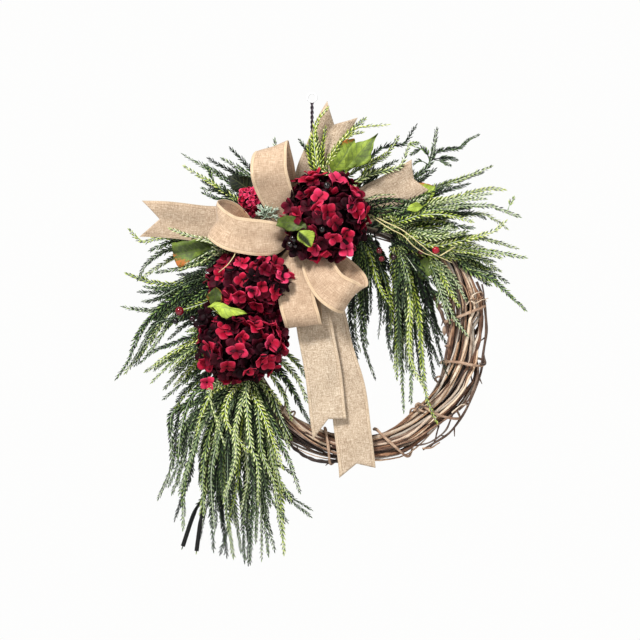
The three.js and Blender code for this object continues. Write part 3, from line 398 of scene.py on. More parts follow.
for layer_name, (count, (low, high), girths, nodes, slot) in RING_LAYERS.items():
    vines = Pile()
    for i in range(count):
        turns = vine_draw.uniform(*VINE_TURNS)
        steps = int(turns * VINE_STEPS)
        angle = vine_draw.uniform(0, 2 * math.pi) + np.linspace(0, 2 * math.pi * turns, steps)
        t = np.linspace(0, 1, steps)
        girth = vine_draw.uniform(*girths) * MM * vine_draw.choice((0.8, 1.0, 1.15))
        phases = vine_draw.uniform(0, 2 * math.pi, 7)
        layer = vine_draw.uniform(low, high) + 0.08 * np.sin(2.3 * angle + phases[0])
        layer = np.minimum(layer, 1.0) * np.minimum(1, 0.55 + 6 * np.minimum(t, 1 - t))
        wind = 2 * math.pi * i / count + vine_draw.uniform(*VINE_WINDS) * angle
        wind = wind + 0.35 * np.sin(1.7 * angle + phases[1])
        middle, half = ring_shape(angle)
        inward = drawn_in(angle) / 2
        across = middle - inward + layer * (half - inward - girth) * np.cos(wind)
        across = parted(angle, across + VINE_WAVER * np.sin(8 * angle + phases[2]))
        depth = layer * (RING_HALF_DEPTH - girth) * np.sin(wind) + VINE_HEAVE * np.sin(11 * angle + phases[3])
        run = RING_RADIUS * (angle - angle[0]) / JOINT_SPACING + phases[4]
        swell = JOINT_SWELL * np.exp(-(((run % 1) - 0.5) / JOINT_LENGTH) ** 2)
        radii = girth * (1 + swell + 0.1 * np.sin(7 * angle + phases[5])) * (1 - VINE_TAPER * t)
        # Painted shade: a vine is darker the deeper it lies in the bundle; a quarter of them are also darker
        # bark at random.
        sunk_shade_and_dark_bark = np.clip((0.9 - layer) / 0.32, 0, 1) * 0.8 + vine_draw.choice((0, 0.3), p=(0.75, 0.25))
        rod(vines, ring_point(angle, across, depth), radii, VINE_SIDES, vine_draw.uniform(0, 1),
            np.minimum(sunk_shade_and_dark_bark, 0.9))
    if layer_name == "ring_vines_outer":
        for route, girth, tone, dark in LOOSE_STRANDS:
            angles, radii, depths = np.array(route).T
            path = smooth_path(ring_point(angles, radii * MM, depths * MM), 4 * MM)
            t = np.linspace(0, 1, len(path))
            rod(vines, path, girth * MM * (1 - 0.2 * t + 0.12 * np.sin(23 * t)), VINE_SIDES, tone, dark)
    ring_part = vines.piece(layer_name, bark.material)
    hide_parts(*nodes)
    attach(ring_part, "root")


# Stray vines
# Thinner runners that have sprung out of the bundle at the right, the lower left and the
# inside of the ring, dark on their bark, with a few side twigs of their own.

# The radii that a runner passes between two angles, and how far along each twig is, its lean
# in degrees and its length.
STRAY_VINES = {
    "vine_stray_right": {
        "from": 0.42, "to": -1.05, "depth": -6, "radii": (230, 229, 224, 226, 230, 236, 232), "girth": 2.8,
        "wander": 1.3, "darkness": 0.6,
        "twigs": ((0.3, -30, 14), (0.52, 26, 12), (0.66, -30, 10), (0.8, 24, 16), (0.88, -26, 9)),
    },
    "vine_stray_lower_left": {
        "from": -1.7, "to": -2.16, "depth": -6, "radii": (223, 230, 233, 230, 224), "girth": 3.6,
        "wander": 0.5, "darkness": 0.92, "twigs": ((0.2, 20, 10), (0.75, -22, 12)),
    },
    "vine_stray_inner": {
        "from": 0.62, "to": -0.02, "depth": -8, "radii": (152, 150, 151, 155, 159), "girth": 4.0,
        "wander": 1.0, "darkness": 0.5, "twigs": ((0.7, -30, 12),),
    },
}
TWIG_POINTS = 5
TWIG_GIRTHS = np.linspace(1.7, 0.7, TWIG_POINTS) * MM
TWIG_DIP = 2 * MM
# The swollen bud on the inner runner: the angles it lies between, its radius and depth, and
# its girths.
BUD_SPAN, BUD_RADIUS, BUD_DEPTH = (0.1, -0.01), 152.5 * MM, -9 * MM
BUD_GIRTHS = np.array((0.8, 2.4, 3.3, 3.7, 3.8, 3.6, 3.0, 2.0, 0.6)) * MM
for node, stray in STRAY_VINES.items():
    radii = np.array(stray["radii"]) * MM
    angles = np.linspace(stray["from"], stray["to"], len(radii))
    path = smooth_path(ring_point(angles, radii, stray["depth"] * MM), 4 * MM)
    t = np.linspace(0, 1, len(path))
    phases = vine_draw.uniform(0, 2 * math.pi, 2)
    sideways = stray["wander"] * MM * np.sin(31 * t + phases[0])
    path = path + sideways[:, None] * np.array((0.7, 0.5, 0.5))
    runner = Pile()
    girth = stray["girth"] * MM * (1 - 0.3 * t) * (1 + 0.12 * np.sin(40 * t + phases[1]))
    rod(runner, path, girth, VINE_SIDES, 0.35, stray["darkness"])
    tangents, _, across = cross_frames(path, (0, 1, 0.01))
    for share, lean, length in stray["twigs"]:
        at = int(share * (len(path) - 1))
        way = unit(tangents[at] + across[at] * math.radians(lean) * 2)
        twig = path[at] + way * np.linspace(0, length * MM, TWIG_POINTS)[:, None]
        twig[:, 1] -= np.linspace(0, 1, TWIG_POINTS) ** 2 * TWIG_DIP
        rod(runner, twig, TWIG_GIRTHS, 5, 0.3, 0.7)
    if node == "vine_stray_inner":
        bud = ring_point(np.linspace(*BUD_SPAN, len(BUD_GIRTHS)), BUD_RADIUS, BUD_DEPTH)
        rod(runner, bud, BUD_GIRTHS, 9, 0.62, 0.25)
    stray_part = runner.piece(node.replace("vine_stray", "stray_vine"), bark.material)
    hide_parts(node)
    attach(stray_part, "root")


# Bindings
# Peeled tendrils wound once round the bundle to hold it, with their ends left loose.
# The one at the upper right ends in a tangle of dry curls.

# For each: where it crosses the ring, how far it slants, and where and how far it winds. Its
# free ends give the angles and radii that they pass, then girth, tone and darkness.
TENDRILS = {
    "tendril_right_upper": {
        "angle": 0.248, "slant": 0.116, "start": 2.9, "turns": 1.2,
        "free_ends": (
            (((0.184, 200), (0.247, 204), (0.297, 205), (0.348, 205), (0.422, 205),
             (0.493, 199)), 1.6, 0.55, 0.15),
            (((0.304, 207), (0.332, 214), (0.338, 223), (0.326, 231), (0.288, 232),
             (0.249, 235)), 1.2, 0.85, 0.0),
            (((0.391, 220), (0.372, 209), (0.321, 209), (0.284, 221), (0.299, 231),
             (0.342, 229)), 1.1, 0.56, 0.1),
            (((0.387, 236), (0.33, 234), (0.275, 231), (0.232, 227)), 1.7, 0.4, 0.6),
            (((0.269, 197), (0.293, 205), (0.263, 214), (0.274, 226), (0.274, 239)), 1.2, 0.83, 0.0),
        ),
    },
    "tendril_right": {
        "angle": -0.213, "slant": 0.101, "start": 3.1, "turns": 1.1,
        "free_ends": ((((-0.23, 220), (-0.227, 230), (-0.194, 228), (-0.154, 224)), 2.0, 0.4, 0.6),),
    },
    "tendril_right_lower": {
        "angle": -0.68, "slant": 0.211, "start": 2.8, "turns": 1.15,
        "free_ends": (
            (((-0.78, 186), (-0.817, 173), (-0.852, 167), (-0.903, 168)), 2.0, 0.4, 0.6),
            (((-0.692, 214), (-0.592, 220), (-0.568, 231)), 1.4, 0.85, 0.1),
        ),
    },
    "tendril_bottom": {
        "angle": -1.136, "slant": 0.268, "start": 2.9, "turns": 1.2,
        "free_ends": ((((-1.051, 230), (-0.99, 237), (-0.92, 238)), 1.8, 0.58, 0.2),),
    },
    "tendril_bottom_left": {"angle": -1.752, "slant": 0.156, "start": 3.1, "turns": 1.1},
    "tendril_left": {
        "angle": -2.306, "slant": 0.057, "start": 3.1, "turns": 1.1,
        "free_ends": ((((-2.35, 188), (-2.38, 176), (-2.44, 166), (-2.507, 156)), 1.5, 0.5, 0.3),),
    },
}
BINDING_GIRTH = 2.8 * MM
BINDING_POINTS = 64
BINDING_WAVER = 1.4 * MM
END_WAVER = 1.5 * MM


def over_bundle(angle, radius, clear):
    """Points on the front of the bundle, or level with its edge where they lie beyond it."""
    middle, half = ring_shape(angle)
    level = np.sqrt(np.maximum(1 - ((radius - middle) / (half + clear)) ** 2, 0.03))
    return ring_point(angle, radius, -(RING_HALF_DEPTH + clear) * level)


for node, binding in TENDRILS.items():
    t = np.linspace(0, 1, BINDING_POINTS)
    wind = binding["start"] + 2 * math.pi * binding["turns"] * t
    clear = BINDING_GIRTH + (0.3 + 6 * np.maximum(0, t - 0.9)) * MM
    angle = binding["angle"] + binding["slant"] * (2 * t - 1)
    middle, half = ring_shape(angle)
    path = ring_point(angle, middle + (half + clear) * np.cos(wind), (RING_HALF_DEPTH + clear) * np.sin(wind))
    path = path + BINDING_WAVER * np.sin(np.outer(t, (17, 23, 19)) + 9 * binding["angle"])
    wrap = Pile()
    girth = BINDING_GIRTH * (1 - 0.4 * t) * (1 + 0.12 * np.sin(33 * t))
    rod(wrap, path, girth, VINE_SIDES, 0.6, 0.05, (1, 0, 0))
    for points, girth, tone, dark in binding.get("free_ends", ()):
        angles, radii = np.array(points).T
        loose = smooth_path(over_bundle(angles, radii * MM, (girth + 3) * MM), 2.5 * MM)
        s = np.linspace(0, 1, len(loose))
        loose = loose + END_WAVER * np.sin(np.outer(s, (9, 14, 11)) + tone * 9) * s[:, None] * (0.3, 1, 0.3)
        rod(wrap, loose, girth * MM * (1.1 - 0.55 * s), 6, tone, dark)
    wrap_part = wrap.piece(node.replace("tendril", "binding"), bark.material)
    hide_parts(node)
    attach(wrap_part, "root")


# Hanger and the bow's wire
# Two strands of dark coated wire twisted together rise from a loop round the bundle
# and end in an eye. A thinner wire ties the bow to the ring.
wire_paint = Paint("dark_coated_wire", 0.42)
scuffs = wire_paint.noise(wire_paint.object, 900, 3)
wire_paint.colour(wire_paint.ramp(scuffs, ((0.35, "#2b2428"), (0.6, "#4b4048"), (0.8, "#7d6f78"))))
wire_paint.bump(scuffs, 0.2 * MM, 0.5)
wire_paint.surface.inputs["Metallic"].default_value = 0.35

EYE_RADIUS, EYE_GIRTH = 8 * MM, 1.5 * MM
WIRE_SIDES = 7
STRAND_GIRTH, STRAND_POINTS = 1.55 * MM, 150
TWIST_PITCH = 17 * MM
HANGER_ANGLE = math.acos(-RING_CENTRE[0] / RING_RADIUS)
# The loops round the bundle: girth, how far they stand off it and how far they sag.
HANGER_LOOP = (1.6 * MM, 1.7 * MM, 2 * MM)
BOW_TIE = (1.0 * MM, 1.2 * MM, 3 * MM)
TIE_SHIFT = 0.006
KNOT = np.array((-21, -42, -261)) * MM


def loop_round(pile, angle, wire, sides):
    """A closed loop of wire round the bundle at an angle."""
    girth, clear, sag = wire
    wind = np.linspace(0, 2 * math.pi, 41)[:-1]
    middle, half = ring_shape(angle)
    loop = ring_point(angle + sag * np.sin(wind) / RING_RADIUS, middle + (half + clear) * np.cos(wind),
                      (RING_HALF_DEPTH + clear) * np.sin(wind))
    rod(pile, loop, girth, sides, 0.5, up=(1, 0, 0), closed=True)


def pick(made, chosen):
    """Goes into edit mode with only the chosen points selected."""
    bpy.ops.object.mode_set(mode="EDIT")
    bpy.ops.mesh.select_mode(type="VERT")
    bpy.ops.mesh.select_all(action="DESELECT")
    bpy.ops.object.mode_set(mode="OBJECT")
    for point in made.data.vertices:
        point.select = bool(chosen(point.co))
    bpy.ops.object.mode_set(mode="EDIT")


hanger = Pile()
foot = RING_CENTRE[2] + RING_RADIUS * math.sin(HANGER_ANGLE)
fall = np.linspace(-2 * EYE_RADIUS, foot, STRAND_POINTS)
for side in (0, math.pi):
    spin = 2 * math.pi * fall / TWIST_PITCH + side
    strand = np.stack([STRAND_GIRTH * np.cos(spin), STRAND_GIRTH * np.sin(spin), fall], axis=-1)
    rod(hanger, strand, STRAND_GIRTH, WIRE_SIDES, 0.5, up=(0, 1, 0))
loop_round(hanger, HANGER_ANGLE, HANGER_LOOP, WIRE_SIDES)
hanger_part = hanger.piece("hanger_twisted_wire", wire_paint.material)
bpy.ops.object.select_all(action="DESELECT")
bpy.ops.mesh.primitive_torus_add(major_radius=EYE_RADIUS, minor_radius=EYE_GIRTH, major_segments=40,
                                 minor_segments=8, location=(0, 0, -EYE_RADIUS), rotation=(math.pi / 2, 0, 0))
eye = bpy.context.object
bpy.ops.object.transform_apply(location=True, rotation=True)
pick(eye, lambda place: place.z < -1.6 * EYE_RADIUS)
bpy.ops.transform.resize(value=(0.8, 1.25, 1), center_override=(0, 0, -2 * EYE_RADIUS))
bpy.ops.object.mode_set(mode="OBJECT")
bpy.ops.object.shade_smooth()
hanger_part.select_set(True)
bpy.context.view_layer.objects.active = hanger_part
bpy.ops.object.join()
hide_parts("hanger_wire")
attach(hanger_part, "root")

tie = Pile()
knot_angle = math.atan2(KNOT[2] - RING_CENTRE[2], KNOT[0] - RING_CENTRE[0])
for shift in (-TIE_SHIFT, TIE_SHIFT):
    loop_round(tie, knot_angle + shift, BOW_TIE, 6)
tie_part = tie.piece("bow_tie_wire", wire_paint.material)
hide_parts("bow_wire")
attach(tie_part, "root")


# Burlap bow
# Tan 2.5 inch burlap ribbon with a wired, hemmed edge on both sides: four open loops and
# five tails with a notch cut in each end, gathered in pleats at the knot and wired there.
RIBBON_WIDTH = 63.5 * MM
RIBBON_HALF_THICKNESS = 0.35 * MM
RIBBON_STEP, RIBBON_COLUMNS = 4.6 * MM, 24
RIBBON_WANDER = 0.6 * MM
HEM, HEM_WIRE = 5.5 * MM, 0.75 * MM
PLEATS, DEEPEST_PLEAT = 1.5, 1.7

burlap = Paint("burlap_ribbon", 0.92)
warp = burlap.noise(burlap.scaled(burlap.uv, (900, 70, 1)), 1, 4, 0.7)
weft = burlap.noise(burlap.scaled(burlap.uv, (70, 900, 1)), 1, 4, 0.7)
flecks = burlap.noise(burlap.scaled(burlap.uv, (520, 330, 1)), 1, 3, 0.6)
fades = burlap.noise(burlap.scaled(burlap.uv, (40, 26, 1)), 1, 2, 0.5)
weave = burlap.maths("MULTIPLY", burlap.maths("ADD", warp, weft), 0.5)
fleck_height = burlap.maths("ADD", 0.2, burlap.maths("MULTIPLY", burlap.tone, 0.55))
cloth = burlap.about(burlap.about(burlap.about(0.54, weave, 1.7), flecks, fleck_height), fades, 0.2)
tan = burlap.ramp(cloth, ((0.2, "#6f5d49"), (0.42, "#a38f77"), (0.55, "#b8a48d"), (0.72, "#d5c6af")))
tan = burlap.mix("MULTIPLY", burlap.maths("SUBTRACT", 1.0, burlap.tone), tan, "#fff4ec")
from_middle = burlap.maths("ABSOLUTE", burlap.split(burlap.uv)[0])
hem_line = burlap.maths("COMPARE", from_middle, RIBBON_WIDTH / 2 - HEM, 0.5 * MM)
tan = burlap.mix("MULTIPLY", burlap.maths("MULTIPLY", hem_line, 0.4), tan, "#8a684c")
in_hem = burlap.maths("GREATER_THAN", from_middle, RIBBON_WIDTH / 2 - HEM)
hem_glow = burlap.maths("SUBTRACT", 0.34, burlap.maths("MULTIPLY", burlap.tone, 0.26))
tan = burlap.mix("MIX", burlap.maths("MULTIPLY", in_hem, hem_glow), tan, "#ecd3ac")
# Painted shade: the kind channel darkens the cloth toward a warm brown.
tan = burlap.mix("MULTIPLY", burlap.maths("MULTIPLY", burlap.kind, 0.8), tan, "#b08a68")
burlap.colour(tan)
burlap.bump(weave, 0.7 * MM, 0.8)
burlap.surface.inputs["Sheen Weight"].default_value = 0.15


def ribbon_lines(stations):
    """The ribbon's middle, width direction, face direction and width at close steps."""
    line = smooth_path(np.array(stations, float) * (MM, MM, MM, MM, 1), 2.5 * MM)
    middle, width, lean = line[:, :3], line[:, 3], np.radians(line[:, 4])
    tangent = unit(np.gradient(middle, axis=0))
    side = np.stack([np.cos(lean), np.zeros_like(lean), np.sin(lean)], axis=-1)
    side = unit(side - tangent * np.sum(side * tangent, axis=1)[:, None])
    return np.column_stack([middle, side, np.cross(tangent, side), width])


def closed_sheet(middle, half_thickness):
    """Front, back and rim of a thin sheet, from a grid of points on its middle."""
    rows, columns = middle.shape[0] - 1, middle.shape[1] - 1
    step, count = columns + 1, (rows + 1) * (columns + 1)
    i, j = np.meshgrid(np.arange(rows), np.arange(columns), indexing="ij")
    corner = (i * step + j).ravel()
    front = np.stack([corner, corner + step, corner + step + 1, corner + 1], axis=-1)
    edge = np.concatenate([np.arange(columns), columns + step * np.arange(rows),
                           rows * step + columns - np.arange(columns), step * (rows - np.arange(rows))])
    after = np.roll(edge, -1)
    rim = np.stack([edge, after, after + count, edge + count], axis=-1)
    points = np.vstack(((middle + half_thickness).reshape(-1, 3), (middle - half_thickness).reshape(-1, 3)))
    return points, np.vstack((front, front[:, ::-1] + count, rim))


def ribbon(pile, stations, tone, cut, creases, seed, painted_shade=0.0, pleated=1.0, inside_shade=0.0):
    """A ribbon with pleats where it is narrow, soft creases, a cut end and wired edges."""
    draw = np.random.default_rng(seed)
    line = ribbon_lines(stations)
    run = distances(line)
    rows, columns = max(int(run[-1] / RIBBON_STEP), RIBBON_COLUMNS), RIBBON_COLUMNS
    a = np.broadcast_to(np.linspace(-1, 1, columns + 1), (rows + 1, columns + 1))
    notch, slope = cut
    end = run[-1] - notch * MM * (1 - np.abs(a)) - slope * MM * (1 + a) / 2
    s = np.linspace(0, 1, rows + 1)[:, None] * end
    at = np.stack([np.interp(s, run, column) for column in line.T], axis=-1)
    middle, side, face, width = at[..., :3], at[..., 3:6], at[..., 6:9], at[..., 9]
    tightness = np.sqrt(np.maximum((RIBBON_WIDTH / width) ** 2 - 1, 0))
    pleat = np.minimum(tightness, DEEPEST_PLEAT) * np.cos(PLEATS * math.pi * a + draw.uniform(-0.5, 0.5))
    pleat = pleat * pleated * width / (4 * PLEATS)
    phases = draw.uniform(0, 2 * math.pi, 6)
    open_share = np.clip((width / RIBBON_WIDTH - 0.45) / 0.5, 0, 1)
    soft = (0.8 * np.sin(s / (21 * MM) + 1.6 * a + phases[0]) + 0.7 * a * np.sin(s / (17 * MM) + phases[1])
            + 0.8 * np.sin(s / (30 * MM) - 2.3 * a + phases[2])
            + 0.2 * np.sin(s / (9 * MM) + 2 * a + phases[3]))
    lift = pleat + creases * MM * open_share * soft
    wander = RIBBON_WANDER * creases * np.sin(s / (23 * MM) + phases[4])
    sheet = middle + side * (a * width / 2 + wander)[..., None] + face * lift[..., None]
    out = np.cross(np.gradient(sheet, axis=0), np.gradient(sheet, axis=1))
    out /= np.maximum(np.linalg.norm(out, axis=-1), 1e-12)[..., None]
    points, faces = closed_sheet(sheet, out * RIBBON_HALF_THICKNESS)
    flat = np.stack([a * RIBBON_WIDTH / 2, s], axis=-1).reshape(-1, 2)
    flat = np.vstack((flat, flat)) + draw.uniform(0, 3) * np.array((0, 1))
    shade = np.zeros((len(points), 3))
    shade[:, 0] = tone
    # Painted shade: an even amount over the whole ribbon, and on a loop more from just past its turn, where
    # its inside faces forward.
    shade[:, 2] = np.tile((painted_shade + inside_shade * np.clip(s / run[-1] * 9 - 5, 0, 1)).ravel(), 2)
    pile.add(points, faces, flat[faces].reshape(-1, 2), shade)
    for column in (0, columns):
        inward = sheet[:, columns // 2] - sheet[:, column]
        rod(pile, sheet[:, column] + inward * 0.012, HEM_WIRE, 5, tone)
    return run[-1]


# For each loop: how much painted shade it has all over, how deeply it is pleated and how much
# more painted shade it has inside, then its stations: the middle of the ribbon (x, y and z), its
# width and its lean in degrees.
BOW_LOOPS = {
    "upper": {
        "shade": (0.03, 0.1, 0.3),
        "stations": (
            (-35, -45, -256, 20, 5), (-48, -64, -217, 48, 4), (-66, -92, -172, 62, 2),
            (-74, -108, -142, 63, 9), (-73, -102, -113, 60, 20), (-68, -84, -98.5, 57, 23),
            (-66, -66, -108, 58, 20), (-60, -54, -138, 61, 4), (-47, -46, -200, 48, 0),
            (-32, -40, -252, 16, 0),
        ),
    },
    "left": {
        "shade": (0.0, 0.45, 1.0),
        "stations": (
            (-36, -44, -256, 16, 80), (-48, -64, -257, 38, 80), (-60, -80, -258, 54, 80),
            (-84, -92, -257, 62, 86), (-112, -103, -254, 62, 88), (-142, -109, -248, 60, 84),
            (-163, -102, -234, 58, 78), (-166, -86, -222, 58, 77), (-146, -70, -222, 60, 80),
            (-118, -60, -248, 56, 84), (-72, -50, -258, 40, 84), (-38, -40, -257, 16, 80),
        ),
    },
    "lowerLeft": {
        "shade": (0.12, 0.45, 0.3),
        "stations": (
            (-23, -45, -271, 24, 0), (-27, -56, -292, 52, -2), (-30, -66, -318, 61, 0),
            (-26, -86, -364, 63, 4), (-18, -92, -394, 63, 6), (-14, -78, -410, 63, 6),
            (-14, -64, -394, 63, 4), (-16, -58, -360, 60, 2), (-19, -52, -312, 48, 0),
            (-23, -40, -273, 18, 0),
        ),
    },
    "lowerRight": {
        "shade": (0.16, 0.4, 0.2),
        "stations": (
            (-14, -47, -268, 26, 14), (4, -64, -292, 50, 26), (16, -84, -318, 58, 36),
            (33, -100, -343, 61, 44), (54, -104, -357, 63, 48), (70, -90, -360, 63, 50),
            (70, -74, -343, 63, 50), (52, -64, -320, 60, 44), (19, -54, -290, 46, 30),
            (-12, -40, -268, 18, 10),
        ),
    },
}
LOOP_CREASES = 0.7
for i, (loop, made) in enumerate(BOW_LOOPS.items()):
    cloth_pile = Pile()
    length = ribbon(cloth_pile, made["stations"], 0.0, (0, 0), LOOP_CREASES, 30 + i, *made["shade"])
    loop_part = cloth_pile.piece("bow_loop_" + loop, burlap.material)
    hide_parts("bow_loops")
    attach(loop_part, "root")

KNOT_SIZE = np.array((13, 14, 16)) * MM
KNOT_TURNS, KNOT_RINGS = 32, 13
knot_band = Pile()
turn, rise = np.meshgrid(np.linspace(0, 2 * math.pi, KNOT_TURNS + 1)[:-1],
                         np.linspace(-1, 1, KNOT_RINGS), indexing="ij")
pinch = np.sqrt(1 - (0.97 * rise) ** 2) * (1 + 0.1 * np.cos(3 * turn + 4 * rise) + 0.06 * np.cos(7 * turn))
knot_points = KNOT + np.stack([rise, pinch * np.cos(turn), pinch * np.sin(turn)], axis=-1) * KNOT_SIZE
knot_uv = np.stack([rise * KNOT_SIZE[0], turn * KNOT_SIZE[1]], axis=-1).reshape(-1, 2)
i, j = np.meshgrid(np.arange(KNOT_TURNS), np.arange(KNOT_RINGS - 1), indexing="ij")
here, beside = i * KNOT_RINGS + j, (i + 1) % KNOT_TURNS * KNOT_RINGS + j
knot_faces = np.stack([here, here + 1, beside + 1, beside], axis=-1).reshape(-1, 4)
# The knot gets a little painted shade.
knot_base = knot_band.add(knot_points, knot_faces, knot_uv[knot_faces].reshape(-1, 2), (0, 0, 0.3))
for end, order in ((0, 1), (KNOT_RINGS - 1, -1)):
    lid = (np.arange(KNOT_TURNS) * KNOT_RINGS + end)[::order]
    knot_band.join(lid[None], knot_uv[lid], knot_base)
knot_part = knot_band.piece("bow_knot", burlap.material)
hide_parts("bow_loops")
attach(knot_part, "root")

# For each tail: how deep its notch is and how much shorter the right side of its end is, how
# creased it is and how much painted shade it has, then its stations.
BOW_TAILS = {
    "tail_left": {
        "cut": (33, 0), "creases": 2.6, "painted_shade": 0.3,
        "stations": (
            (-26, -32, -259, 16, 90), (-74, -34, -247, 46, 92), (-135, -40, -234, 62, 95),
            (-196, -46, -229, 63, 93), (-248, -52, -226, 63, 91), (-298, -60, -222, 63, 90),
        ),
    },
    "tail_upper": {
        "cut": (30, 0), "creases": 1.9, "painted_shade": 0.15,
        "stations": (
            (-19, -32, -254, 16, -10), (-10, -34, -203, 44, -18), (2, -40, -145, 61, -24),
            (21, -43, -98, 63, -24), (38, -42, -61, 62, -26), (54, -46, -32, 60, -28),
        ),
    },
    "tail_right": {
        "cut": (15, 0), "creases": 2.2, "painted_shade": 0.2,
        "stations": (
            (-14, -32, -259, 16, -70), (37, -32, -231, 46, -66), (93, -34, -200, 62, -62),
            (140, -40, -173, 63, -60), (168, -46, -158, 63, -61), (189, -52, -146, 60, -62),
        ),
    },
    "tail_front": {
        "cut": (18, 29), "creases": 1.4, "painted_shade": 0.0,
        "stations": (
            (-18, -38, -271, 18, 0), (-9, -44, -320, 52, 0), (2, -48, -390, 62, 2), (14, -50, -460, 63, 4),
            (24, -48, -530, 63, 6), (33, -46, -604, 62, 12),
        ),
    },
    "tail_rear": {
        "cut": (16, 12), "creases": 1.6, "painted_shade": 0.1,
        "stations": (
            (-14, -32, -271, 18, 0), (7, -34, -329, 52, 2), (24, -36, -383, 62, 4), (42, -37, -452, 63, 5),
            (61, -37, -523, 64, 4), (72, -38, -592, 64, 2), (79, -40, -672, 64, 8),
        ),
    },
}
TAIL_TONE = 0.9
for i, (tail, made) in enumerate(BOW_TAILS.items()):
    cloth_pile = Pile()
    length = ribbon(cloth_pile, made["stations"], TAIL_TONE, made["cut"], made["creases"], 50 + i,
                    made["painted_shade"])
    tail_part = cloth_pile.piece("bow_" + tail, burlap.material)
    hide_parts(tail)
    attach(tail_part, "root")


# Hydrangea heads
# Three big heads of fabric florets, each floret of four cupped petals round a small bead.
# Most are deep burgundy, some crimson and some pink, wired in a dome on a core that is
# painted near-black as shade between them.
BLOOM_BACK = -47 * MM
GOLDEN = math.pi * (3 - math.sqrt(5))

petal_paint = Paint("hydrangea_petal", 0.62)
threads = petal_paint.noise(petal_paint.object, 520, 4, 0.6)
mottle = petal_paint.noise(petal_paint.object, 70, 3)
hue = petal_paint.about(petal_paint.about(petal_paint.tone, mottle, 0.34), threads, 0.22)
red = petal_paint.ramp(hue, ((0.0, "#0e0005"), (0.2, "#2c000e"), (0.42, "#57001b"), (0.62, "#900126"),
                             (0.8, "#c60b36"), (1.0, "#e23563")))
# Painted highlight: the edges of the brighter petals are lightened toward pink.
edge_highlight = petal_paint.maths("MULTIPLY", petal_paint.maths("POWER", petal_paint.kind, 4.0), 0.3)
edge_highlight = petal_paint.maths("MULTIPLY", edge_highlight, petal_paint.maths("POWER", petal_paint.tone, 2.0))
red = petal_paint.mix("MIX", edge_highlight, red, "#ee7f9c")
# Painted shade: each petal is darker toward its base, in the heart of the floret.
heart_shade = petal_paint.maths("MULTIPLY", petal_paint.maths("SUBTRACT", 1.0, petal_paint.reach), 0.75)
red = petal_paint.mix("MULTIPLY", heart_shade, red, "#5b1220")
petal_paint.colour(red)
petal_paint.bump(threads, 0.5 * MM, 0.7)
petal_paint.surface.inputs["Specular IOR Level"].default_value = 0.12


def take_shape(made):
    """The points and faces of a modelled shape, which is then put away."""
    mesh = made.data
    points = np.array([point.co[:] for point in mesh.vertices])
    faces = np.array([face.vertices[:] for face in mesh.polygons])
    bpy.data.objects.remove(made)
    return points, faces


# One petal, 1 long and 1 wide at its widest, cupped a little. For each row of its points:
# how wide it is and how far it lifts.
PETAL_ROWS = ((0.16, 0.0), (0.66, 0.0), (1.0, 0.03), (0.88, 0.09), (0.42, 0.13))
PETAL_LIP = (0.07, 0, -0.03)
PETAL_THICKNESS = 0.028
bpy.ops.object.select_all(action="DESELECT")
bpy.ops.mesh.primitive_grid_add(x_subdivisions=4, y_subdivisions=3, size=1, location=(0.5, 0, 0))
petal = bpy.context.object
bpy.ops.object.transform_apply(location=True)
for row, (wide, lift) in enumerate(PETAL_ROWS):
    pick(petal, lambda place: abs(place.x - row / 4) < 0.01)
    bpy.ops.transform.resize(value=(1, wide, 1), center_override=(row / 4, 0, 0))
    bpy.ops.transform.translate(value=(0, 0, lift))
pick(petal, lambda place: place.x > 0.99 and abs(place.y) < 0.1)
bpy.ops.transform.translate(value=PETAL_LIP)
bpy.ops.object.mode_set(mode="OBJECT")
thick = petal.modifiers.new("cloth", "SOLIDIFY")
thick.thickness = PETAL_THICKNESS
thick.offset = 0
bpy.ops.object.modifier_apply(modifier="cloth")
PETAL, PETAL_FACES = take_shape(petal)
PETAL_REACH = PETAL[:, 0].clip(0, 1)
half_width = np.interp(PETAL_REACH, np.linspace(0, 1, len(PETAL_ROWS)), [wide / 2 for wide, _ in PETAL_ROWS])
PETAL_EDGE = np.maximum(np.abs(PETAL[:, 1]) / half_width, (PETAL_REACH - 0.5) * 2).clip(0, 1)
BEAD = np.array([(1, 0, 0), (0, 1, 0), (-1, 0, 0), (0, -1, 0), (0, 0, 1), (0, 0, -1)], float)
BEAD_FACES = np.array([(i, (i + 1) % 4, 4) for i in range(4)] + [((i + 1) % 4, i, 5) for i in range(4)])
# How far a petal is turned, tilted and twisted from its place, at most.
PETAL_TURN, PETAL_TILT, PETAL_TWIST = 0.2, 0.24, 0.35


def floret(pile, at, outward, radius, spin, tone, opening, draw):
    """Four petals round a bead, facing outward."""
    out = unit(outward)
    first = unit(np.cross(out, (0.3, 0.1, 1.0)))
    second = np.cross(out, first)
    for k in range(4):
        angle = spin + k * math.pi / 2 + draw.uniform(-PETAL_TURN, PETAL_TURN)
        lift = opening + draw.uniform(-PETAL_TILT, PETAL_TILT)
        along = first * math.cos(angle) + second * math.sin(angle)
        across = np.cross(out, along)
        tilted = along * math.cos(lift) + out * math.sin(lift)
        up = np.cross(tilted, across)
        size = radius * draw.uniform(0.86, 1.1)
        twist = draw.uniform(-PETAL_TWIST, PETAL_TWIST)
        across = across * math.cos(twist) + up * math.sin(twist)
        up = np.cross(tilted, across)
        long, wide, rise = PETAL[:, :1], PETAL[:, 1:2], PETAL[:, 2:]
        crumple = 0.07 * np.sin(7 * wide + draw.uniform(0, 6.3)) * long
        crumple = crumple + draw.uniform(-0.22, 0.16) * long ** 3
        points = at + size * (long * tilted + wide * 1.04 * across + (rise + crumple) * up)
        shade = np.full(len(PETAL), tone + draw.uniform(-0.06, 0.06))
        look = np.column_stack([shade, PETAL_REACH, PETAL_EDGE])
        pile.add(points, PETAL_FACES, (0, 0), look)
    bead = BEAD[:, :1] * first + BEAD[:, 1:2] * second + BEAD[:, 2:] * out
    pile.add(at + out * radius * 0.08 + radius * 0.1 * bead, BEAD_FACES, (0, 0), (0.2, 0.2, 0))


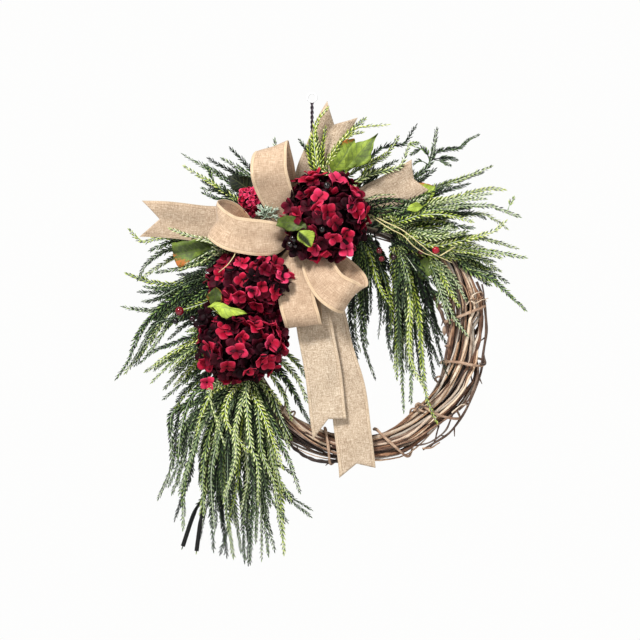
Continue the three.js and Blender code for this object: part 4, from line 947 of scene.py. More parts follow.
def dome(pile, centre, size, tone):
    """A closed core under the florets, cut flat at its back."""
    bpy.ops.object.select_all(action="DESELECT")
    bpy.ops.mesh.primitive_uv_sphere_add(segments=24, ring_count=12, radius=1, location=centre)
    core = bpy.context.object
    core.scale = size
    bpy.ops.object.transform_apply(location=True, scale=True)
    bpy.ops.object.mode_set(mode="EDIT")
    bpy.ops.mesh.select_all(action="SELECT")
    bpy.ops.mesh.bisect(plane_co=(0, BLOOM_BACK, 0), plane_no=(0, 1, 0), use_fill=True, clear_outer=True)
    bpy.ops.mesh.select_all(action="SELECT")
    bpy.ops.mesh.quads_convert_to_tris()
    bpy.ops.object.mode_set(mode="OBJECT")
    points, faces = take_shape(core)
    pile.add(points, faces, (0, 0), (tone, 0.3, 0))


# For each head: its centre and half sizes, how far its florets are turned, and where its stem
# meets the ring. Bright florets stand out from the dome: the x and z where each is seen, and
# its tone. Loose ones stand off it: place, radius and tone.
BLOOMS = {
    "bloom_lower": {
        "centre": (-121, -68, -443), "size": (78, 66, 60), "spin": 0.3, "stem": (-114, 0, -440),
        "bright": (
            (-150, -420, 0.74), (-96, -412, 0.8), (-128, -452, 0.86), (-72, -440, 0.88), (-110, -484, 0.8),
            (-176, -446, 0.7), (-60, -416, 0.84), (-76, -408, 0.86), (-146, -478, 0.72), (-88, -466, 0.7),
        ),
        "loose": (
            (-182, -82, -507, 15, 0.95), (-186, -68, -388, 14, 0.12), (-176, -74, -374, 14, 0.2),
            (-192, -64, -404, 14, 0.1), (-52, -74, -402, 14, 0.2), (-60, -78, -392, 15, 0.3),
        ),
    },
    "bloom_upper": {
        "centre": (24, -68, -217), "size": (74, 64, 73), "spin": 1.1, "stem": (42, 0, -234),
        "bright": (
            (-24, -156, 0.7), (-6, -157, 0.75), (9, -151, 0.86), (43, -158, 1.0), (70, -180, 0.92),
            (12, -189, 0.9), (67, -201, 1.0), (83, -219, 0.96), (27, -213, 0.74), (-38, -201, 0.36),
            (-26, -218, 0.5), (36, -256, 0.84), (60, -254, 0.8), (40, -232, 0.6), (5, -272, 0.88),
            (21, -279, 0.74),
        ),
        "loose": (
            (60, -98, -276, 17, 1.0), (-40, -82, -266, 14, 0.14), (-28, -86, -277, 14, 0.1),
            (-15, -86, -281, 14, 0.3), (-2, -86, -284, 15, 0.16), (46, -78, -284, 15, 0.3),
            (34, -80, -288, 14, 0.12),
        ),
    },
    "bloom_middle": {
        "centre": (-108, -64, -334), "size": (71, 58, 50), "spin": 2.2, "stem": (-98, 0, -345),
        "bright": (
            (-120, -301, 0.86), (-84, -297, 0.92), (-62, -302, 0.62), (-156, -305, 0.66), (-52, -325, 0.98),
            (-102, -348, 0.92), (-120, -330, 0.74), (-127, -357, 0.86), (-146, -358, 0.8),
            (-156, -322, 0.7), (-64, -350, 0.8), (-96, -372, 0.7),
        ),
        "loose": (
            (-84, -76, -386, 15, 0.34), (-64, -72, -384, 14, 0.24), (-104, -78, -388, 15, 0.3),
            (-52, -74, -368, 14, 0.2),
        ),
    },
}
CORE_SHARE = 0.74
RIM_FLORETS, RIM_SHARE = 26, 0.84
SHELLS = ((0.74, 40), (0.92, 84))
# The florets' radii in millimetres, and how far a floret is turned at most.
RIM_RADII, SHELL_RADII, BRIGHT_RADII = (13, 16), (13.5, 17.5), (14, 18)
SPIN = 1.57
BACK_CLEARANCE = 13 * MM
STEM_GIRTH = 4.2 * MM
for node, head in BLOOMS.items():
    draw = np.random.default_rng(len(node))
    centre, size = np.array(head["centre"]) * MM, np.array(head["size"]) * MM
    petals = Pile()
    # The core is painted near-black: painted shade in the gaps between the florets.
    dome(petals, centre, size * CORE_SHARE, 0.02)
    for i in range(RIM_FLORETS):
        around = 2 * math.pi * (i + draw.uniform(-0.3, 0.3)) / RIM_FLORETS
        direction = np.array((math.cos(around), -0.25 - 0.3 * (i % 2), math.sin(around)))
        floret(petals, centre + unit(direction) * size * RIM_SHARE, direction / size,
               draw.uniform(*RIM_RADII) * MM, draw.uniform(0, SPIN), draw.uniform(0.05, 0.3),
               draw.uniform(0.0, 0.4), draw)
    for shell, total in SHELLS:
        for i in range(total):
            front = 1 - 1.3 * (i + 0.5) / total
            level = math.sqrt(1 - front * front)
            around = i * GOLDEN + head["spin"] + 3 * shell
            direction = np.array((level * math.cos(around), -front, level * math.sin(around)))
            at = centre + direction * size * (shell + draw.uniform(-0.09, 0.05))
            at[1] = min(at[1], BLOOM_BACK - BACK_CLEARANCE)
            outward = direction / size + draw.normal(0, 0.36, 3) / size.mean()
            # Florets of the inner shell, deep under the others, are painted dark as shade.
            if shell < 0.8:
                tone = draw.uniform(0, 0.2)
            else:
                tone = draw.choice((0.1, 0.3, 0.5, 0.72), p=(0.36, 0.32, 0.22, 0.1))
            floret(petals, at, outward, draw.uniform(*SHELL_RADII) * MM, draw.uniform(0, SPIN), tone,
                   draw.uniform(0.0, 0.62), draw)
    for x, z, tone in head["bright"]:
        off = (np.array((x, z)) * MM - centre[[0, 2]]) / size[[0, 2]]
        depth = math.sqrt(max(1 - off.dot(off), 0.04))
        direction = np.array((off[0], -depth, off[1]))
        at = np.array((x * MM, centre[1] - depth * size[1] * 0.98, z * MM))
        floret(petals, at, direction / size + draw.normal(0, 0.2, 3) / size.mean(),
               draw.uniform(*BRIGHT_RADII) * MM, draw.uniform(0, SPIN), tone, draw.uniform(0.05, 0.45), draw)
    for x, y, z, radius, tone in head["loose"]:
        at = np.array((x, y, z)) * MM
        rod(petals, np.linspace(centre + (at - centre) * 0.72, at, 6), 0.9 * MM, 5, 0.1, up=(0.2, 1, 0.1))
        facing = np.array((draw.uniform(-0.3, 0.3), -1, draw.uniform(-0.3, 0.3)))
        floret(petals, at, facing, radius * MM, draw.uniform(0, SPIN), tone, draw.uniform(0.1, 0.4), draw)
    x, _, z = np.array(head["stem"]) * MM
    stalk = np.linspace((x, BLOOM_BACK - 10 * MM, z), (x, -8 * MM, z), 4)
    rod(petals, stalk, STEM_GIRTH, 8, 0.1, up=(1, 0, 0))
    head_part = petals.piece(node.replace("bloom", "hydrangea"), petal_paint.material)
    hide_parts(node)
    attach(head_part, "root")


# Pink blossom cluster
# A tight cluster of little pink fabric florets on a small core, tucked in above the left loop
# with its stem pushed into the vines.
CLUSTER = np.array((-108, -60, -187)) * MM
CLUSTER_SIZE = np.array((19, 15, 19)) * MM
CLUSTER_ROOT = np.array((-106, 0, -194)) * MM
CLUSTER_FLORETS = 26
CLUSTER_RADII = (6.5, 9)
CLUSTER_TONES = (0.5, 1.25)
HANGING_FLORETS = ((-111, -58, -209), (-103, -62, -214), (-97, -56, -208))
HANGING_RADIUS = 7.5 * MM
cluster = Pile()
cluster_draw = np.random.default_rng(11)
# The core is painted dark: painted shade between the florets.
dome(cluster, CLUSTER, CLUSTER_SIZE * 0.72, 0.15)
for i in range(CLUSTER_FLORETS):
    front = 1 - 1.25 * (i + 0.5) / CLUSTER_FLORETS
    level = math.sqrt(1 - front * front)
    direction = np.array((level * math.cos(i * GOLDEN), -front, level * math.sin(i * GOLDEN)))
    floret(cluster, CLUSTER + direction * CLUSTER_SIZE * 0.85, direction,
           cluster_draw.uniform(*CLUSTER_RADII) * MM, cluster_draw.uniform(0, SPIN),
           cluster_draw.uniform(*CLUSTER_TONES), 0.5, cluster_draw)
for place in HANGING_FLORETS:
    at = np.array(place) * MM
    rod(cluster, np.linspace(CLUSTER, at, 5), 0.8 * MM, 5, 0.1, up=(1, 0.1, 0))
    floret(cluster, at, np.array((0.2, -1, -0.3)), HANGING_RADIUS, 0.4, 0.55, 0.3, cluster_draw)
rod(cluster, np.linspace(CLUSTER, CLUSTER_ROOT, 6), 2 * MM, 6, 0.1, up=(1, 0, 0))
cluster_part = cluster.piece("pink_blossom_cluster", petal_paint.material)
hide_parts("blossom_small")
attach(cluster_part, "root")


# Green leaves
# Fabric leaves with pressed veins and a waved, toothed edge. Some are fresh green and some
# dark, and most have been tinted orange-brown along their edges.

# Each goes from its seat by its base to its tip. It has a width or an outline: how far along,
# then how far out on its two sides. Its rust is how strong it is and where it lies.
LEAVES = {
    "leaf_by_knot_dark": {
        "seat": (6, -96, -226), "base": (-8, -118, -240), "tip": (-61, -98, -231), "width": 25, "arch": 3,
        "fold": 3, "tone": 0.36, "rust": (0.3, "tip"), "blunt": 0.14,
    },
    "leaf_by_knot_bright": {
        "seat": (14, -104, -238), "base": (-22, -120, -246), "tip": (-1, -118, -273), "width": 27,
        "arch": 3, "fold": 6, "tone": 0.74, "shadowed": 0.6,
    },
    "leaf_between_blooms": {
        "seat": (-137, -88, -404), "base": (-180, -122, -376), "tip": (-111, -142, -389), "arch": 4,
        "fold": 3, "tone": 0.8, "face": (0, -1, 0.3),
        "outline": (
            (0, 0.5, 0.5), (0.14, 1, 9.4), (0.33, 12, 6.7), (0.45, 20, 5), (0.56, 19, 2), (0.65, 11, 2.5),
            (0.8, 7.7, 3), (0.93, 4, 2), (1, 0.5, 0.5),
        ),
    },
    "leaf_between_blooms_dark": {
        "seat": (-139, -80, -352), "base": (-172, -102, -372), "tip": (-166, -114, -342), "width": 26,
        "arch": 3, "fold": 2, "tone": 0.36, "rust": (0.7, "edge"),
    },
    "leaf_left": {
        "seat": (-84, -14, -296), "base": (-160, -56, -274), "tip": (-241, -66, -288), "arch": 5, "fold": 4,
        "tone": 0.46, "rust": (1.0, "tip"), "shadowed": 0.2,
        "outline": (
            (0, 0.5, 0.5), (0.2, 17, 3), (0.5, 21, 9.5), (0.66, 20, 15), (0.75, 22.5, 19), (0.9, 22, 22),
            (0.95, 24, 21), (1, 22, 4),
        ),
    },
    "leaf_top_left": {
        "seat": (28, -66, -154), "base": (36, -66, -142), "tip": (74, -68, -84), "width": 40, "arch": 4,
        "fold": 5, "tone": 0.62, "rust": (1.1, "tip"), "ragged": 1.6,
    },
    "leaf_top_right": {
        "seat": (43, -70, -174), "base": (58, -70, -144), "tip": (115, -76, -75), "arch": 5, "fold": 5,
        "tone": 0.62, "rust": (0.2, "edge"), "shadowed": 0.2,
        "outline": (
            (0, 1, 1), (0.17, 6, 12), (0.28, 14, 17), (0.36, 18, 17.5), (0.42, 21, 20), (0.52, 22.5, 20),
            (0.64, 14.5, 14), (0.7, 13.5, 9), (0.81, 6, 4), (0.9, 3, 1.8), (1, 0.5, 0.5),
        ),
    },
    "leaf_right": {
        "seat": (168, -8, -218), "base": (162, -26, -194), "tip": (216, -32, -166), "width": 46, "arch": 3,
        "fold": 4, "tone": 0.84, "rust": (1.0, "left"), "ragged": 1.4, "lopsided": 0.25,
    },
    "leaf_hanging": {
        "seat": (212, -14, -282), "base": (204, -32, -290), "tip": (188, -34, -330), "width": 26, "arch": 3,
        "fold": 3, "tone": 0.42, "rust": (0.3, "edge"),
    },
    "leaf_right_small": {
        "seat": (203, -52, -194), "base": (192, -84, -203), "tip": (164, -86, -208), "width": 15, "arch": 2,
        "fold": 2, "tone": 0.85,
    },
    "leaf_behind_cluster": {
        "seat": (-108, -20, -192), "base": (-104, -46, -178), "tip": (-146, -50, -148), "width": 30,
        "arch": 3, "fold": 3, "tone": 0.0, "ragged": 1.6, "node": "blossom_small",
    },
}
TOWARD_VIEWER = (0, -1, 0)
LEAF_HALF_THICKNESS = 0.22 * MM
LEAF_ROWS, LEAF_COLUMNS = 27, 11
STALK_GIRTH = 1.3 * MM

leaf_paint = Paint("pressed_leaf", 0.55)
blotch = leaf_paint.noise(leaf_paint.object, 85, 5, 0.65)
across_leaf, along_leaf, _ = leaf_paint.split(leaf_paint.uv)
off_rib = leaf_paint.maths("ABSOLUTE", across_leaf)
side_veins = leaf_paint.maths("SUBTRACT", leaf_paint.maths("MULTIPLY", along_leaf, 7.5),
                              leaf_paint.maths("MULTIPLY", off_rib, 1.6))
side_veins = leaf_paint.maths("LESS_THAN", leaf_paint.maths("PINGPONG", side_veins, 0.5), 0.055)
vein = leaf_paint.maths("MAXIMUM", side_veins, leaf_paint.maths("LESS_THAN", off_rib, 0.05))
green = leaf_paint.about(leaf_paint.tone, blotch, 0.85)
green = leaf_paint.maths("SUBTRACT", green, leaf_paint.maths("MULTIPLY", vein, 0.2))
green = leaf_paint.ramp(green, ((0.0, "#0e1508"), (0.25, "#2f3b14"), (0.5, "#5b6e24"),
                                (0.75, "#8fa23a"), (1.0, "#b4c84a")))
green = leaf_paint.mix("MIX", leaf_paint.maths("MULTIPLY", vein, 0.08), green, "#c5cf8a")
patch = leaf_paint.about(0.75, blotch, 3.2)
rust = leaf_paint.ramp(leaf_paint.maths("MULTIPLY", leaf_paint.kind, patch), ((0.38, 0.0), (0.62, 1.0)))
leaf_paint.colour(leaf_paint.mix("MIX", rust, green, "#a9632c"))
leaf_paint.bump(leaf_paint.maths("MULTIPLY", vein, -1.0), 0.5 * MM, 0.6)
leaf_paint.surface.inputs["Specular IOR Level"].default_value = 0.25

for node, blade in LEAVES.items():
    draw = np.random.default_rng(sum(map(ord, node)))
    seat, base, tip = (np.array(blade[key]) * MM for key in ("seat", "base", "tip"))
    along, face = tip - base, np.array(blade.get("face", TOWARD_VIEWER), float)
    face = unit(face - along * face.dot(along) / along.dot(along))
    side = np.cross(unit(along), face)
    t, a = np.meshgrid(np.linspace(0, 1, LEAF_ROWS), np.linspace(-1, 1, LEAF_COLUMNS), indexing="ij")
    phases = draw.uniform(0, 2 * math.pi, 5)
    if "outline" in blade:
        along_it, *sides = np.array(blade["outline"]).T
        half = np.where(a > 0, *(np.interp(t, along_it, one) for one in sides)) * MM
    else:
        ragged = 0.13 * np.sin(7.5 * t + phases[3] + 1.4 * np.sign(a))
        ragged = ragged + 0.09 * np.abs(np.sin(8 * math.pi * t + phases[4]))
        ragged = (1 + blade.get("ragged", 1) * ragged) * (1 + blade.get("lopsided", 0) * np.sign(a))
        half = np.sin(math.pi * (t * (1 - blade.get("blunt", 0))) ** 0.86) ** 0.8 * ragged
        half = blade["width"] / 2 * MM * np.maximum(half, 0.03)
    lift = (blade["arch"] * np.sin(math.pi * t) + blade["fold"] * np.abs(a) * half / half.max()
            + 3.4 * a * a * np.sin(10 * t + phases[0]) + 3.0 * a * np.sin(7 * t + phases[1])
            + draw.uniform(-5, 5) * t ** 2) * MM
    bend = draw.uniform(-4, 4) * MM * np.sin(math.pi * t)
    middle = base + along * t[..., None] + face * lift[..., None] + side * (a * half + bend)[..., None]
    shell_points, shell_faces = closed_sheet(middle, face * LEAF_HALF_THICKNESS)
    places = np.tile(np.stack([a, t], axis=-1).reshape(-1, 2), (2, 1))
    rusted, where = blade.get("rust", (0, "edge"))
    near_edge = places[:, 0] ** 2
    if where == "tip":
        near_edge = (places[:, 1] * 4 - 3.1 - 0.9 * places[:, 0]).clip(0, 1)
    elif where == "left":
        near_edge = near_edge * (places[:, 0] < 0.1)
    # Painted shade: a band along one side of the leaf is darkened by its shadowed amount.
    shadowed_band = np.abs(places[:, 0] - 0.4) < 0.3
    tones = blade["tone"] - blade.get("shadowed", 0) * shadowed_band
    look = np.column_stack([tones, np.abs(places[:, 1]), rusted * near_edge])
    leaf_pile = Pile()
    leaf_pile.add(shell_points, shell_faces, places[shell_faces].reshape(-1, 2), look)
    stalk = smooth_path([seat, seat + (base - seat) * 0.6 + face * 2 * MM, base + along * 0.08], 3 * MM)
    rod(leaf_pile, stalk, np.linspace(STALK_GIRTH, STALK_GIRTH * 0.6, len(stalk)), 6, blade["tone"],
        up=(0.2, 0.1, 1))
    leaf_part = leaf_pile.piece("pressed_" + node, leaf_paint.material)
    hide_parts(blade.get("node", node))
    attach(leaf_part, "root")


# Berries
# Lacquered berries on thin wires: red ones at both sides, dark ones at the knot and in the
# upper head. Each row goes from where its wire is pushed in, past each berry: place, radius
# and tone.
BERRIES = {
    "berries_left": {
        "from": (-184, -74, -424),
        "berries": (
            (-208, -60, -397, 5.5, 0.3), (-230, -74, -383.5, 7.8, 0.66), (-237, -72, -401, 5.5, 0.02),
        ),
    },
    "berries_right": {
        "from": (86, -84, -236),
        "berries": (
            (117, -84, -279, 5.5, 0.5), (121, -80, -293, 5, 0.6), (142, -74, -290, 5, 0.3),
            (189, -76, -281, 5, 0.4), (215, -79, -278, 6.5, 0.95),
        ),
    },
    "berries_by_knot": {
        "from": (-22, -48, -261),
        "berries": (
            (-29, -92, -270, 5.5, 0.1), (-32, -102, -258.5, 6.8, 0.05), (-38, -99, -268, 6.2, 0.08),
        ),
    },
    "berry_in_upper_bloom": {"from": (26, -90, -176), "berries": ((26, -128, -168, 6.5, 0.05),)},
    "berry_in_upper_bloom_low": {
        "from": (20, -96, -236), "berries": ((17.5, -134, -243, 5.5, 0.05),),
        "node": "berry_in_upper_bloom",
    },
}
THREAD_GIRTH = 0.6 * MM
berry_paint = Paint("lacquered_berry", 0.14)
dust = berry_paint.noise(berry_paint.object, 300, 3)
skin = berry_paint.about(berry_paint.tone, dust, 0.3)
lacquer = berry_paint.ramp(skin, ((0.0, "#060304"), (0.3, "#250a12"), (0.6, "#5c0a17"), (1.0, "#a30f26")))
berry_paint.colour(lacquer)
berry_paint.bump(dust, 0.12 * MM, 0.3)
berry_paint.surface.inputs["Specular IOR Level"].default_value = 0.3
berry_paint.surface.inputs["Coat Weight"].default_value = 0.45
berry_paint.surface.inputs["Coat Roughness"].default_value = 0.06

# One berry, 1 in radius, pressed in at the end that faces the viewer.
bpy.ops.object.select_all(action="DESELECT")
bpy.ops.mesh.primitive_uv_sphere_add(segments=16, ring_count=9, radius=1, rotation=(math.pi / 2, 0, 0))
berry = bpy.context.object
bpy.ops.object.transform_apply(rotation=True)
for front, pressed in ((-0.9, 0.03), (-0.99, 0.1)):
    pick(berry, lambda place: place.y < front)
    bpy.ops.transform.translate(value=(0, pressed, 0))
bpy.ops.mesh.select_all(action="SELECT")
bpy.ops.transform.resize(value=(1, 0.96, 1.03))
bpy.ops.mesh.quads_convert_to_tris()
bpy.ops.object.mode_set(mode="OBJECT")
BERRY, BERRY_FACES = take_shape(berry)
for node, branch in BERRIES.items():
    strung = Pile()
    route = [branch["from"]] + [place for *place, radius, tone in branch["berries"]]
    rod(strung, smooth_path(route, 4) * MM, THREAD_GIRTH, 5, 0.1, up=(0.1, 0.2, 1))
    for *place, radius, tone in branch["berries"]:
        strung.add(np.array(place) * MM + radius * MM * BERRY, BERRY_FACES, (0, 0), (tone, 0, 0))
    berry_part = strung.piece("threaded_" + node, berry_paint.material)
    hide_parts(branch.get("node", node))
    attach(berry_part, "root")


# Straw
# Dry, pale blades, thinner to their tips, that lean out of the heads. Each is rooted in a
# head or in the vines, and the last one at the right lies across the others.
STRAW_BLADES = {
    "straw_right": (
        ((100, -40, -214), (132, -56, -230), (158, -86, -244), (188, -92, -268), (209, -92, -284),
         (243, -90, -300)),
        ((100, -40, -216), (136, -58, -240), (160, -88, -254), (175, -92, -270), (196, -92, -284),
         (209, -92, -288)),
        ((222, -91, -288), (248, -92, -272)),
    ),
    "straw_left": (
        ((-124, -62, -290), (-131, -92, -282), (-135, -116, -290), (-144, -124, -303), (-161, -117, -317)),
    ),
}
straw_paint = Paint("dry_straw", 0.75)
grain = straw_paint.noise(straw_paint.scaled(straw_paint.uv, (40, 8, 1)), 3, 3)
straw_paint.colour(straw_paint.ramp(grain, ((0.3, "#ab9455"), (0.5, "#dccb92"), (0.72, "#f6eecd"))))
straw_paint.bump(grain, 0.3 * MM, 0.6)
for node, blades in STRAW_BLADES.items():
    straw_pile = Pile()
    for corners in blades:
        path = smooth_path(np.array(corners, float), 4) * MM
        rod(straw_pile, path, np.linspace(1.2, 0.5, len(path)) * MM, 5, 0.5)
    straw_part = straw_pile.piece("dry_" + node, straw_paint.material)
    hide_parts(node)
    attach(straw_part, "root")
